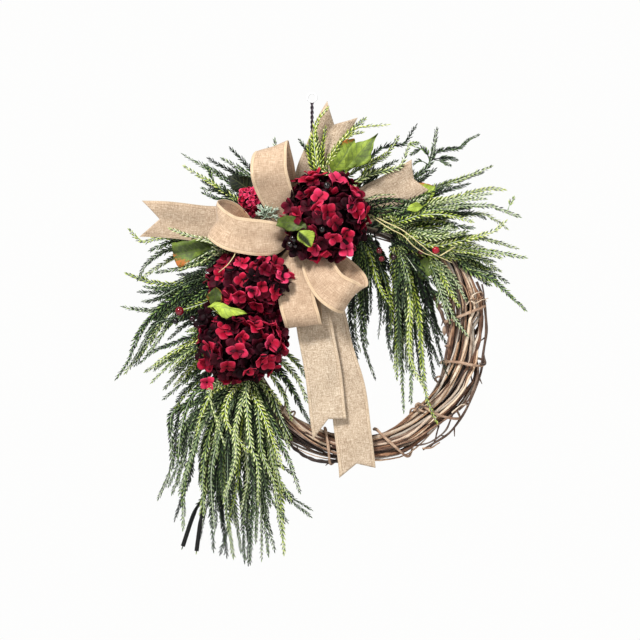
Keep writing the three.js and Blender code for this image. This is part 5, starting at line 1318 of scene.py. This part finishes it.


# Cedar sprays
# Moulded cedar fronds wired in sprays: a flexible stem with flat scales in a herringbone on
# both sides, dark at the stem and yellow-green at the tips, partly their own colour and partly
# painted shade at each scale's root and a painted highlight at its tip. They weep to the left,
# down the lower left and inside the ring, and fan out to the upper right.

# Each spray has its hub, the tones that its fronds are drawn between and its slot. A frond is
# its depth (y) and the x and z of the points it passes; a single one has its tone after its
# depth, and a fork the number of its parent first. Then: which fronds are lime and the share
# of the rest that is, how many fronds fill in beside each and how far they reach, how many
# short ones ruffle round the hub, and which fronds are bare from some way along.
SPRAYS = {
    "spray_upper_left": {
        "hub": (-62, -12, -256), "tones": (0.2, 0.5), "slot": "needles_dark", "lime": (2,), "ruffle": 5,
        "fronds": (
            (-24, (-126, -196), (-158, -189), (-189, -177)), (-4, (-133, -189), (-161, -175), (-191, -168)),
            (-18, (-140, -184), (-222, -131)), (6, (-126, -175), (-226, -108)),
            (-14, (-116, -158), (-180, -117)), (4, (-94, -164), (-110, -133), (-142, -98)),
            (-12, (-70, -172), (-63, -128), (-65, -84)),
        ),
        "forks": ((1, (-163, -178), (-172, -161), (-184, -128)),),
    },
    "spray_left_upper": {
        "hub": (-112, -12, -314), "tones": (0.22, 0.64), "slot": "needles_mid", "lime": (4,),
        "lime_share": 0.15, "ruffle": 10,
        "fronds": (
            (0, (-175, -280), (-222, -261), (-266, -254), (-299, -261), (-320, -242)),
            (-20, (-187, -271), (-247, -262), (-282, -276)), (-2, (-187, -298), (-231, -308), (-271, -315)),
            (-18, (-196, -280), (-245, -273), (-289, -299), (-304, -326)),
            (8, (-187, -287), (-238, -287), (-275, -308), (-298, -324)),
            (-10, (-170, -320), (-224, -336), (-284, -332), (-324, -318)),
            (-26, (-175, -332), (-205, -338), (-259, -350), (-301, -350)),
            (-6, (-178, -322), (-229, -329), (-266, -362)),
            (8, (-175, -350), (-222, -366), (-278, -383), (-306, -382), (-332, -376)),
        ),
        "singles": (
            (-72, 1.7, (-150, -286), (-180, -262), (-213, -253), (-245, -241)),
            (-76, 0.85, (-148, -288), (-166, -284), (-192, -298), (-226, -310)),
            (-80, 0.7, (-150, -282), (-170, -278), (-196, -290), (-216, -300)),
            (-70, 0.1, (-140, -296), (-160, -292), (-186, -308), (-214, -322)),
        ),
    },
    "spray_left_lower": {
        "hub": (-128, -24, -368), "tones": (0.28, 0.66), "slot": "needles_mid", "lime": (2, 6),
        "lime_share": 0.2, "ruffle": 10,
        "fronds": (
            (-60, (-170, -360), (-187, -369), (-226, -382)),
            (-44, (-186, -332), (-245, -364), (-290, -404), (-306, -429), (-320, -469), (-341, -500)),
            (-30, (-182, -346), (-245, -376), (-266, -408), (-284, -436), (-308, -467), (-326, -490)),
            (-52, (-187, -371), (-231, -396), (-266, -402), (-289, -424)),
            (-36, (-187, -378), (-243, -399), (-266, -429), (-287, -458)),
            (-54, (-170, -402), (-203, -424), (-236, -438), (-275, -453), (-298, -472)),
            (-38, (-170, -416), (-203, -436), (-234, -455), (-289, -488)),
            (-54, (-175, -425), (-203, -444), (-245, -474), (-278, -506)),
        ),
        "singles": (
            (-50, 0.04, (-150, -382), (-178, -390), (-208, -394), (-244, -402)),
            (-46, 0.1, (-148, -388), (-176, -398), (-204, -404), (-232, -412)),
            (-44, 0.05, (-150, -392), (-172, -404), (-196, -412), (-216, -418)),
        ),
    },
    "spray_lower_left": {
        "hub": (-147, -8, -425), "tones": (0.3, 0.6), "slot": "needles_mid", "ruffle": 6,
        "fronds": (
            (-4, (-192, -444), (-220, -460), (-248, -488)), (8, (-187, -452), (-231, -486), (-259, -518)),
            (-12, (-182, -472), (-224, -508), (-259, -536)), (2, (-175, -486), (-210, -514), (-238, -550)),
            (-14, (-168, -497), (-200, -536), (-219, -581)),
        ),
    },
    "spray_cascade_back": {
        "hub": (-124, 2, -512), "tones": (0.0, 0.36), "slot": "needles_dark", "fill_reach": (0.6, 1.0),
        "ruffle": 6, "bare": {2: 0.74, 3: 0.78},
        "fronds": (
            (6, (-187, -539), (-245, -560), (-248, -609), (-248, -658), (-270, -712)),
            (-10, (-175, -548), (-220, -592), (-231, -662), (-245, -702)),
            (14, (-158, -556), (-187, -626), (-186, -700), (-206, -735), (-228, -798)),
            (-6, (-150, -556), (-178, -626), (-189, -700), (-203, -805)),
            (10, (-140, -556), (-172, -609), (-172, -679), (-158, -746)),
            (-12, (-133, -556), (-150, -626), (-159, -714), (-150, -812)),
            (6, (-126, -565), (-140, -626), (-138, -696), (-126, -805)),
            (-8, (-119, -565), (-122, -609), (-112, -696), (-112, -826)),
            (14, (-112, -565), (-105, -626), (-88, -705), (-77, -812)),
            (-4, (-108, -565), (-98, -626), (-80, -679), (-74, -724)),
            (10, (-105, -574), (-88, -626), (-63, -693), (-4, -744)),
            (-8, (-105, -565), (-88, -618), (-63, -648), (-33, -670)),
        ),
    },
    "spray_cascade_front": {
        "hub": (-104, -24, -494), "tones": (0.2, 0.64), "slot": "needles_mid", "lime": (3, 7, 13, 14),
        "lime_share": 0.12, "fill": 2, "fill_reach": (0.55, 1.0), "ruffle": 7,
        "fronds": (
            (-40, (-147, -508), (-203, -525), (-226, -574), (-234, -635)),
            (-56, (-144, -522), (-182, -565), (-201, -609), (-231, -700)),
            (-30, (-140, -514), (-191, -560), (-206, -626), (-222, -679), (-226, -763)),
            (-74, (-150, -511), (-175, -528), (-191, -560), (-200, -595)),
            (-44, (-133, -528), (-172, -574), (-187, -635), (-191, -679), (-189, -735)),
            (-60, (-130, -528), (-159, -592), (-175, -662), (-170, -766)),
            (-82, (-122, -532), (-133, -592), (-136, -648), (-150, -710)),
            (-34, (-126, -532), (-150, -592), (-156, -662), (-150, -723), (-138, -812)),
            (-70, (-119, -532), (-130, -574), (-144, -602)),
            (-54, (-116, -532), (-119, -609), (-112, -672), (-124, -732)),
            (-80, (-108, -532), (-108, -609), (-103, -696), (-107, -819)),
            (-38, (-102, -528), (-89, -592), (-88, -679), (-88, -816)),
            (-62, (-98, -528), (-91, -609), (-77, -696), (-44, -749)),
            (-84, (-105, -525), (-88, -556), (-61, -626), (-51, -654)),
            (-46, (-94, -525), (-74, -592), (-63, -662), (-54, -714), (-49, -805)),
            (-68, (-98, -525), (-77, -574), (-70, -644), (-38, -710)),
            (-50, (-91, -522), (-77, -539), (-65, -574), (-44, -612)),
        ),
        "singles": (
            (-52, 1.6, (-87, -509), (-66, -548), (-51, -583), (-40, -621)),
            (-44, 0.5, (-94, -504), (-80, -556), (-65, -609), (-47, -635)),
            (-92, 1.7, (-140, -526), (-150, -554), (-146, -580), (-134, -596), (-118, -618), (-109, -626)),
            (-98, 0.75, (-114, -509), (-111, -568), (-104, -620), (-94, -648), (-93, -714)),
            (-94, 0.9, (-168, -512), (-178, -528), (-170, -558), (-152, -612)),
            (-98, 0.8, (-118, -530), (-133, -596), (-130, -628), (-138, -664), (-149, -694), (-152, -707)),
            (-90, 1.5, (-96, -540), (-90, -594), (-88, -624), (-78, -652), (-66, -678), (-61, -708),
             (-56, -747), (-51, -775)),
            (-40, 0.1, (-150, -560), (-164, -640), (-176, -720), (-172, -800)),
            (-34, 0.16, (-120, -560), (-128, -640), (-122, -730), (-118, -820)),
            (-42, 0.2, (-100, -560), (-92, -640), (-84, -720), (-66, -800)),
            (-30, 0.12, (-130, -560), (-146, -650), (-142, -740), (-160, -806)),
        ),
    },
    "spray_beside_lower_bloom": {
        "hub": (-106, -22, -448), "tones": (0.25, 0.6), "slot": "needles_light", "lime_share": 0.3,
        "fill": 0, "ruffle": 2,
        "fronds": (
            (-30, (-56, -452), (-28, -472), (-4, -509)), (-43, (-56, -469), (-28, -497), (-9, -539)),
            (-32, (-60, -480), (-30, -532), (-4, -578)), (-44, (-63, -490), (-38, -514), (-23, -536)),
            (-34, (-70, -497), (-49, -532), (-37, -570)),
        ),
    },
    "spray_top_lime": {
        "hub": (12, -64, -152), "tones": (0.8, 1.0), "slot": "needles_light", "lime_share": 1.0, "fill": 1,
        "fronds": (
            (-60, (0, -128), (-4, -102), (-2, -84)), (-66, (5, -105), (4, -70), (14, -47), (26, -32)),
            (-60, (16, -128), (18, -102), (23, -66)),
        ),
    },
    "spray_top_front": {
        "hub": (46, -62, -154), "tones": (0.55, 0.88), "slot": "needles_light", "lime_share": 0.7,
        "fill": 1,
        "fronds": (
            (-56, (52, -130), (49, -112), (51, -94)),
            (-76, (23, -140), (33, -117), (49, -93), (74, -68), (131, -60)),
            (-50, (42, -133), (46, -110), (63, -75), (91, -49)),
            (-52, (70, -161), (100, -145), (154, -131), (163, -112), (170, -93)),
        ),
    },
    "spray_top": {
        "hub": (66, -14, -202), "tones": (0.16, 0.5), "slot": "needles_mid", "lime_share": 0.2, "fill": 1,
        "ruffle": 5,
        "fronds": (
            (-8, (88, -150), (105, -124), (133, -105), (150, -80)),
            (-20, (94, -161), (126, -133), (147, -121)),
            (2, (102, -161), (98, -124), (116, -100), (140, -91), (161, -89), (182, -58)),
        ),
        "forks": ((2, (158, -89), (172, -89), (186, -88)),),
    },
    "spray_top_dark": {
        "hub": (150, -8, -212), "tones": (0.08, 0.3), "slot": "needles_dark", "fill": 1,
        "fronds": (
            (0, (163, -180), (180, -150), (201, -133), (210, -116), (215, -91), (219, -65)),
            (-6, (175, -168), (196, -150), (215, -135)),
        ),
        "forks": (
            (0, (210, -114), (222, -103), (245, -98), (259, -96), (276, -82), (292, -74)),
            (0, (212, -116), (234, -114), (254, -117)), (0, (214, -117), (226, -119), (242, -126)),
            (0, (208, -119), (196, -98), (175, -107)), (0, (205, -126), (191, -119), (180, -124)),
        ),
    },
    "spray_right_back": {
        "hub": (166, -10, -222), "tones": (0.16, 0.5), "slot": "needles_mid", "fill": 1,
        "fronds": (
            (-4, (196, -189), (210, -172), (256, -154), (313, -130)),
            (-20, (200, -192), (226, -175), (273, -161)),
        ),
    },
    "spray_right_upper": {
        "hub": (114, -24, -234), "tones": (0.4, 0.8), "slot": "needles_light", "lime_share": 0.5, "fill": 4,
        "ruffle": 10,
        "fronds": (
            (-62, (138, -220), (168, -200), (200, -184)),
            (-52, (144, -222), (203, -194), (243, -187), (285, -175), (313, -170), (334, -172)),
            (-68, (158, -224), (252, -201), (285, -200), (313, -201), (336, -210), (359, -219)),
            (-80, (150, -229), (189, -217), (234, -217), (276, -228)),
        ),
        "singles": (
            (-62, 0.1, (102, -204), (132, -193), (175, -197), (226, -199)),
            (-66, 0.05, (96, -198), (126, -188), (160, -192), (196, -203)),
            (-60, 0.2, (108, -212), (140, -203), (184, -206), (232, -212)),
            (-64, 0.1, (90, -204), (112, -194), (146, -189), (176, -192)),
            (-58, 0.3, (112, -219), (150, -212), (196, -214), (240, -219)),
            (-70, 1.65, (84, -204), (96, -190), (114, -183), (140, -181)),
            (-56, 0.0, (92, -214), (104, -206), (126, -206), (158, -212)),
        ),
        "forks": ((2, (340, -210), (343, -200), (350, -187)),),
    },
    "spray_right_middle": {
        "hub": (153, -24, -243), "tones": (0.3, 0.76), "slot": "needles_light", "lime": (0, 3),
        "lime_share": 0.45, "fill": 4, "ruffle": 11,
        "fronds": (
            (-30, (224, -224), (299, -214), (318, -222), (340, -238)),
            (-46, (189, -234), (233, -234), (280, -238)), (-74, (175, -248), (214, -256), (262, -247)),
            (-60, (175, -256), (214, -270), (254, -262), (287, -254), (320, -242), (336, -228)),
            (-34, (189, -245), (233, -252), (294, -256), (357, -273)),
            (-48, (175, -252), (206, -262), (262, -271)),
            (-42, (180, -262), (215, -270), (278, -275), (329, -282), (371, -290)),
            (-30, (175, -266), (206, -278), (259, -285), (315, -296)),
        ),
    },
    "spray_right_lower": {
        "hub": (222, -12, -258), "tones": (0.4, 0.7), "slot": "needles_mid", "lime_share": 0.2, "ruffle": 5,
        "fronds": (
            (-4, (259, -273), (294, -290), (329, -312)),
            (-20, (257, -276), (270, -308), (312, -326), (345, -354), (373, -380)),
            (2, (257, -280), (294, -304), (343, -332)), (-12, (256, -284), (284, -312), (312, -336)),
        ),
    },
    "spray_ring_right": {
        "hub": (206, -24, -290), "tones": (0.35, 0.65), "slot": "needles_mid", "ruffle": 3,
        "fronds": (
            (-38, (220, -303), (242, -338), (254, -373)),
            (-41, (217, -315), (231, -355), (245, -390), (270, -424)),
            (-38, (214, -303), (226, -338), (236, -385)),
        ),
    },
    "spray_hanging_left": {
        "hub": (86, -18, -252), "tones": (0.08, 0.4), "slot": "needles_dark", "lime": (5,), "ruffle": 12,
        "fronds": (
            (-8, (80, -290), (66, -364), (65, -438)), (-26, (84, -298), (74, -346), (68, -399), (79, -466)),
            (8, (91, -298), (84, -364), (91, -443), (110, -500)), (-16, (94, -312), (91, -382), (96, -441)),
            (-32, (96, -290), (102, -346), (103, -385)), (-46, (102, -287), (119, -343), (138, -376)),
            (-2, (108, -298), (122, -364), (117, -427)),
            (-20, (112, -298), (133, -364), (133, -425), (140, -467)),
            (6, (119, -298), (138, -382), (152, -425)),
        ),
    },
    "spray_hanging_right": {
        "hub": (158, -22, -267), "tones": (0.12, 0.52), "slot": "needles_dark", "lime": (4, 7),
        "lime_share": 0.12, "ruffle": 10,
        "fronds": (
            (-8, (140, -287), (145, -346), (138, -408)),
            (-26, (147, -294), (152, -364), (150, -443), (149, -500)),
            (-10, (150, -298), (158, -382), (158, -478), (161, -558)),
            (-42, (156, -298), (168, -399), (173, -478), (173, -541)),
            (-58, (159, -298), (170, -357), (170, -452), (178, -486), (194, -514)),
            (-84, (154, -285), (164, -312), (172, -346)), (-6, (168, -303), (182, -346), (192, -383)),
            (-46, (164, -298), (186, -382), (191, -452), (201, -536), (217, -576)),
            (-28, (172, -298), (189, -390), (201, -434), (214, -500)),
            (-12, (175, -304), (196, -364), (205, -427), (222, -476)),
            (-38, (168, -290), (194, -318), (220, -341)),
        ),
    },
}
STEM_PITCH = 3.8
HUB_GIRTH, HUB_END = 3.4 * MM, 4
NEEDLE_LENGTH = 13 * MM
NEEDLE_PITCH = 7.9 * MM
NEEDLE_SPREAD = math.radians(29)
SMALL_SHARE = 0.8

needle_paint = Paint("cedar_scales", 0.6)
fleck = needle_paint.noise(needle_paint.object, 160, 3)
fresh = needle_paint.maths("GREATER_THAN", needle_paint.tone, 1.0)
shade = needle_paint.maths("SUBTRACT", needle_paint.tone, fresh)
# Painted shade and highlight: each scale is darker at its root and lighter at its tip (its reach), over its
# own tone and flecks.
shade = needle_paint.about(needle_paint.about(shade, fleck, 0.25), needle_paint.reach, 0.74)
scale_green = needle_paint.ramp(shade, ((0.0, "#0b120d"), (0.15, "#1b271c"), (0.3, "#314629"),
                                        (0.45, "#516c3c"), (0.6, "#78924b"), (0.75, "#9fb462"),
                                        (0.9, "#c2d083"), (1.0, "#dde4a8")))
scale_lime = needle_paint.ramp(shade, ((0.0, "#182008"), (0.3, "#4c6014"), (0.5, "#7e9429"), (0.7, "#abbd42"),
                                       (0.85, "#cbd56c"), (1.0, "#e8eaae")))
scale_green = needle_paint.mix("MIX", fresh, scale_green, scale_lime)
twig_colour = needle_paint.ramp(shade, ((0.0, "#0a0b09"), (0.4, "#364132"), (0.7, "#8d9f80"),
                                        (1.0, "#d8dfc4")))
needle_paint.colour(needle_paint.mix("MIX", needle_paint.kind, scale_green, twig_colour))
needle_paint.bump(fleck, 0.3 * MM, 0.4)
needle_paint.surface.inputs["Specular IOR Level"].default_value = 0.3

# One scale lies along x, from its root at 0 to its tip at 1, flat below and ridged above: a
# three-sided bar with both ends drawn out to points.
bpy.ops.object.select_all(action="DESELECT")
bpy.ops.mesh.primitive_cylinder_add(vertices=3, radius=0.126, depth=0.42, end_fill_type="TRIFAN",
                                    location=(0.51, 0, 0), rotation=(0, math.pi / 2, 0))
scale_form = bpy.context.object
bpy.ops.object.transform_apply(location=True, rotation=True)
for end, drawn_out in ((0.3, -0.3), (0.72, 0.28)):
    pick(scale_form, lambda place: abs(place.x - end) < 0.01 and math.hypot(place.y, place.z) < 0.01)
    bpy.ops.transform.translate(value=(drawn_out, 0, 0))
bpy.ops.mesh.select_all(action="SELECT")
bpy.ops.transform.resize(value=(1, 0.45, 1), center_override=(0, 0, 0))
bpy.ops.mesh.quads_convert_to_tris()
bpy.ops.object.mode_set(mode="OBJECT")
SCALE, SCALE_FACES = take_shape(scale_form)
SCALE = SCALE[:, [0, 2, 1]] * (1, -1, 1)
SCALE_REACH = SCALE[:, 0]
# The rows of scales on a stem: which side, how far they rise and how much painted light they
# get: rows rising toward the front are painted lighter, rows facing back are painted darker as
# shade.
SCALE_ROWS = ((1, 0.45, 0.14), (-1, 0.45, 0.14), (1, -0.4, -0.42), (-1, -0.4, -0.42))
MISSING_SHARE = 0.03
# The tones from 1.02 up are those of lime fronds.
LIME_FROM, TONE_RANGE = 1.02, 0.98


def frond(pile, path, tone, draw, size=1.0, needled=1.0):
    """A stem along the path with scales in a herringbone on both sides."""
    length = np.linalg.norm(np.diff(path, axis=0), axis=1).sum()
    t = np.linspace(0, 1, len(path))
    stem_tone, girth = min(tone % 1 + (0.4 if draw.uniform() < 0.5 else 0.0), 1.0), 1.25 - 0.7 * t
    if needled < 1:
        stem_tone, girth = -0.4, 1.6 + 2.2 * np.clip((t - needled) * 14, 0, 1)
    rod(pile, path, size * MM * girth, 4, stem_tone, 1.0)
    tilt = draw.uniform(-0.5, 0.5)
    tangents, normals, across = cross_frames(path, (math.sin(tilt), -math.cos(tilt), 0.02))
    twist = draw.uniform(-0.6, 0.6) * t + draw.uniform(-0.2, 0.2)
    face = normals * np.cos(twist)[:, None] + across * np.sin(twist)[:, None]
    side = np.cross(tangents, face)
    sage = 0.5 if draw.uniform() < 0.4 else 0.0
    pitch = NEEDLE_PITCH * size
    stations = np.arange(1.5 * pitch, length * needled, pitch)
    found = []
    for hand, rise, painted_light_shift in SCALE_ROWS:
        s = (stations + (pitch / 2 if rise < 0 else 0) + (pitch / 4 if hand < 0 else 0)) / length
        s = s[(s < 0.99) & (draw.uniform(0, 1, len(s)) > MISSING_SHARE)]
        at, ahead, out, aside = (np.stack([np.interp(s, t, c) for c in v.T], axis=-1)
                                 for v in (path, tangents, face, side))
        spread = (NEEDLE_SPREAD + draw.normal(0, 0.1, len(s)))[:, None]
        lean = (rise + draw.normal(0, 0.14, len(s)))[:, None]
        way = ahead * np.cos(spread) + (hand * aside * np.cos(lean) + out * np.sin(lean)) * np.sin(spread)
        up = out * math.copysign(1, rise) + hand * aside * 0.5
        up -= way * np.sum(up * way, axis=1)[:, None]
        taper = np.minimum(1, 0.5 + 4 * s) * (1 - 0.42 * np.maximum(0, s - 0.55) / 0.45)
        found.append((at, way, up, NEEDLE_LENGTH * size * taper * draw.uniform(0.86, 1.12, len(s)),
                      tone + painted_light_shift + draw.normal(0, 0.06, len(s))))
    found.append((path[-1:] - tangents[-1] * 2 * MM, tangents[-1:], face[-1:],
                  np.array([NEEDLE_LENGTH * size * 0.7]), np.array([tone])))
    at, way, up, scale, tones = (np.concatenate(v) for v in zip(*found))
    way, up = unit(way), unit(up)
    low = LIME_FROM if tone > 1 else 0.0
    tones = np.clip(tones, low, low + TONE_RANGE)
    long, wide, high = SCALE[None, :, :1], SCALE[None, :, 1:2], SCALE[None, :, 2:]
    points = long * way[:, None] + wide * np.cross(up, way)[:, None] + high * up[:, None]
    points = at[:, None] + scale[:, None, None] * points
    faces = SCALE_FACES[None] + len(SCALE) * np.arange(len(at))[:, None, None]
    look = np.column_stack([np.repeat(tones, len(SCALE)), np.tile(SCALE_REACH, len(at)),
                            np.full(len(SCALE) * len(at), sage)])
    pile.add(points.reshape(-1, 3), faces.reshape(-1, 3), (0, 0), look)


def side_tip(pile, path, tone, draw):
    """A short frond that forks off near the end of a longer one."""
    at = int(draw.uniform(0.5, 0.8) * len(path))
    ahead = unit(path[min(at + 3, len(path) - 1)] - path[at])
    aside = np.cross(ahead, (0, 1, 0)) * draw.choice((-1, 1))
    way = ahead + aside * draw.uniform(0.4, 0.75) + np.array((0, draw.uniform(-0.2, 0.1), 0))
    s = np.linspace(0, 1, 9)[:, None]
    reach = draw.uniform(16, 26) * MM
    frond(pile, path[at] + reach * (way * s + ahead * 0.25 * s * s), tone, draw, SMALL_SHARE)


def resampled(path, count):
    """The same path with another number of points."""
    old, new = np.linspace(0, 1, len(path)), np.linspace(0, 1, count)
    return np.stack([np.interp(new, old, c) for c in path.T], axis=-1)


def hung_path(start, depth, corners):
    """A frond's path from its root past the x, z corners at its depth, let out in two steps."""
    depths = [(2 * depth + start[1]) / 3] + [depth] * (len(corners) - 1)
    route = [start] + [(x, y, z) for (x, z), y in zip(corners, depths)]
    return smooth_path(np.array(route, float) * MM, 3 * MM)


def shaken(draw, *reaches):
    """A shift in x, y and z, drawn between the given reaches."""
    return np.array([draw.uniform(low, high) for low, high in reaches]) * MM


def frond_tone(lime_share, low, high, draw):
    """A frond's tone: now and then lime, and sometimes a dark one, painted as shade deep in the spray."""
    if draw.uniform() < lime_share:
        return 1.0 + draw.uniform(0.35, 0.72)
    # Painted shade: now and then a frond is drawn darker, as if deep in the spray.
    if draw.uniform() < 0.3:
        return max(draw.uniform(low - 0.25, low), 0)
    return draw.uniform(low, high + 0.06)


for node, spray in SPRAYS.items():
    draw = np.random.default_rng(sum(map(ord, node)))
    (low, high), slot, lime_share = spray["tones"], spray["slot"], spray.get("lime_share", 0.06)
    seat = np.array(spray["hub"], float)
    turn = math.atan2(seat[2] - RING_CENTRE[2] / MM, seat[0] - RING_CENTRE[0] / MM)
    along_ring = np.array((-math.sin(turn), 0, math.cos(turn)))
    first, last = spray["fronds"][0][-1], spray["fronds"][-1][-1]
    if (first[0] - last[0]) * along_ring[0] + (first[1] - last[1]) * along_ring[2] > 0:
        along_ring = -along_ring
    spray_pile = Pile()
    total = len(spray["fronds"])
    starts = [seat + along_ring * STEM_PITCH * (i + 0.5 - total / 2) for i in range(total)]
    reach = along_ring * HUB_END
    rod(spray_pile, np.linspace(starts[0] - reach, starts[-1] + reach, 6) * MM, HUB_GIRTH, 8, 0.2, 1.0)
    held = [hung_path(start, depth, corners) for start, (depth, *corners) in zip(starts, spray["fronds"])]
    for i, path in enumerate(held):
        lime = i in spray.get("lime", ())
        tone = 1.0 + draw.uniform(0.5, 0.75) if lime else frond_tone(lime_share, low, high, draw)
        frond(spray_pile, path, tone, draw, 1.0, spray.get("bare", {}).get(i, 1.0))
    for depth, tone, *corners in spray.get("singles", ()):
        frond(spray_pile, hung_path(seat, depth, corners), tone, draw)
    for parent, *corners in spray.get("forks", ()):
        depth = spray["fronds"][parent][0]
        fork = smooth_path(np.array([(x, depth, z) for x, z in corners], float) * MM, 3 * MM)
        frond(spray_pile, fork, draw.uniform(low, high), draw, SMALL_SHARE)
    for i in range(total):
        for _ in range(spray.get("fill", 3)):
            near = held[min(i + 1, total - 1)] if draw.uniform() < 0.7 else held[i]
            count = max(len(held[i]), len(near))
            blend = draw.uniform(0.2, 0.8)
            path = resampled(held[i], count) * (1 - blend) + resampled(near, count) * blend
            path = path[:max(int(draw.uniform(*spray.get("fill_reach", (0.45, 0.95))) * count), 8)]
            turned = draw.normal(0, 0.08)
            x, y, z = (path - path[0]).T
            path = path[0] + np.stack([x * math.cos(turned) - z * math.sin(turned), y,
                                       x * math.sin(turned) + z * math.cos(turned)], axis=-1)
            s = np.linspace(0, 1, len(path))[:, None]
            behind = draw.uniform() < 0.4
            off = shaken(draw, (-10, 10), (-9, 9), (-6, 6)) + (0, 9 * MM * behind, 0)
            left, down = shaken(draw, (-10, 10), (-10, 10))
            foot = np.array((left, 0, down))
            bow = np.array((math.cos(3 * blend), 0, math.sin(5 * blend))) * 5 * MM * np.sin(math.pi * s)
            path = path + off * s ** 0.7 + foot * (1 - s) + bow
            # Painted shade: fronds set back in the spray are painted dark.
            if behind:
                tone = draw.uniform(0.02, 0.24)
            else:
                tone = frond_tone(lime_share, low - 0.08, high - 0.02, draw)
            frond(spray_pile, path, tone, draw, draw.uniform(0.85, 1.0))
            if draw.uniform() < 0.25 and len(path) > 14:
                side_tip(spray_pile, path, tone, draw)
    for _ in range(spray.get("ruffle", 0)):
        lead = held[draw.integers(total)]
        path = lead[:max(int(draw.uniform(0.25, 0.5) * len(lead)), 12)]
        s = np.linspace(0, 1, len(path))[:, None]
        foot = shaken(draw, (-13, 13), (-10, 0), (-13, 13))
        off = shaken(draw, (-20, 20), (-12, 6), (-20, 20))
        tone = frond_tone(lime_share, low - 0.15, high - 0.1, draw)
        frond(spray_pile, path + foot * (1 - s) + off * s, tone, draw, draw.uniform(0.8, 1.0))
    spray_part = spray_pile.piece("cedar_" + node, needle_paint.material)
    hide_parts(node)
    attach(spray_part, "root")


# Frosted sprig
# A short sprig of moulded cedar dusted with white, spread like a fan between the upper loop
# and the left one, with its stem pushed into the vines.
frosted_paint = Paint("frosted_sprig", 0.85)
frost = frosted_paint.noise(frosted_paint.object, 260, 4)
frosted_paint.colour(frosted_paint.ramp(frost, ((0.28, "#6f8a70"), (0.48, "#b4c7ae"), (0.68, "#eaf0e2"))))
frosted_paint.bump(frost, 0.5 * MM, 0.7)
SPRIG_HUB = np.array((-80, -60, -220)) * MM
SPRIG_ROOT = np.array((-88, -14, -212)) * MM
SPRIG_FRONT = -74
SPRIG_SIZE = 0.95
SPRIG_TIPS = ((-93, -214), (-91, -203), (-82, -198), (-72, -200), (-62, -207), (-62, -221), (-88, -226),
              (-76, -209))
sprig = Pile()
sprig_draw = np.random.default_rng(7)
rod(sprig, np.linspace(SPRIG_HUB, SPRIG_ROOT, 5), 1.3 * MM, 6, 0.5, up=(1, 0, 0))
for x, z in SPRIG_TIPS:
    tip = np.array((x, SPRIG_FRONT, z)) * MM
    path = smooth_path([SPRIG_HUB, (SPRIG_HUB + tip) / 2 - (0, 4 * MM, 0), tip], 2.5 * MM)
    frond(sprig, path, 0.5, sprig_draw, SPRIG_SIZE)
sprig_part = sprig.piece("frosted_sprig", frosted_paint.material)
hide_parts("sprig_frosted")
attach(sprig_part, "root")
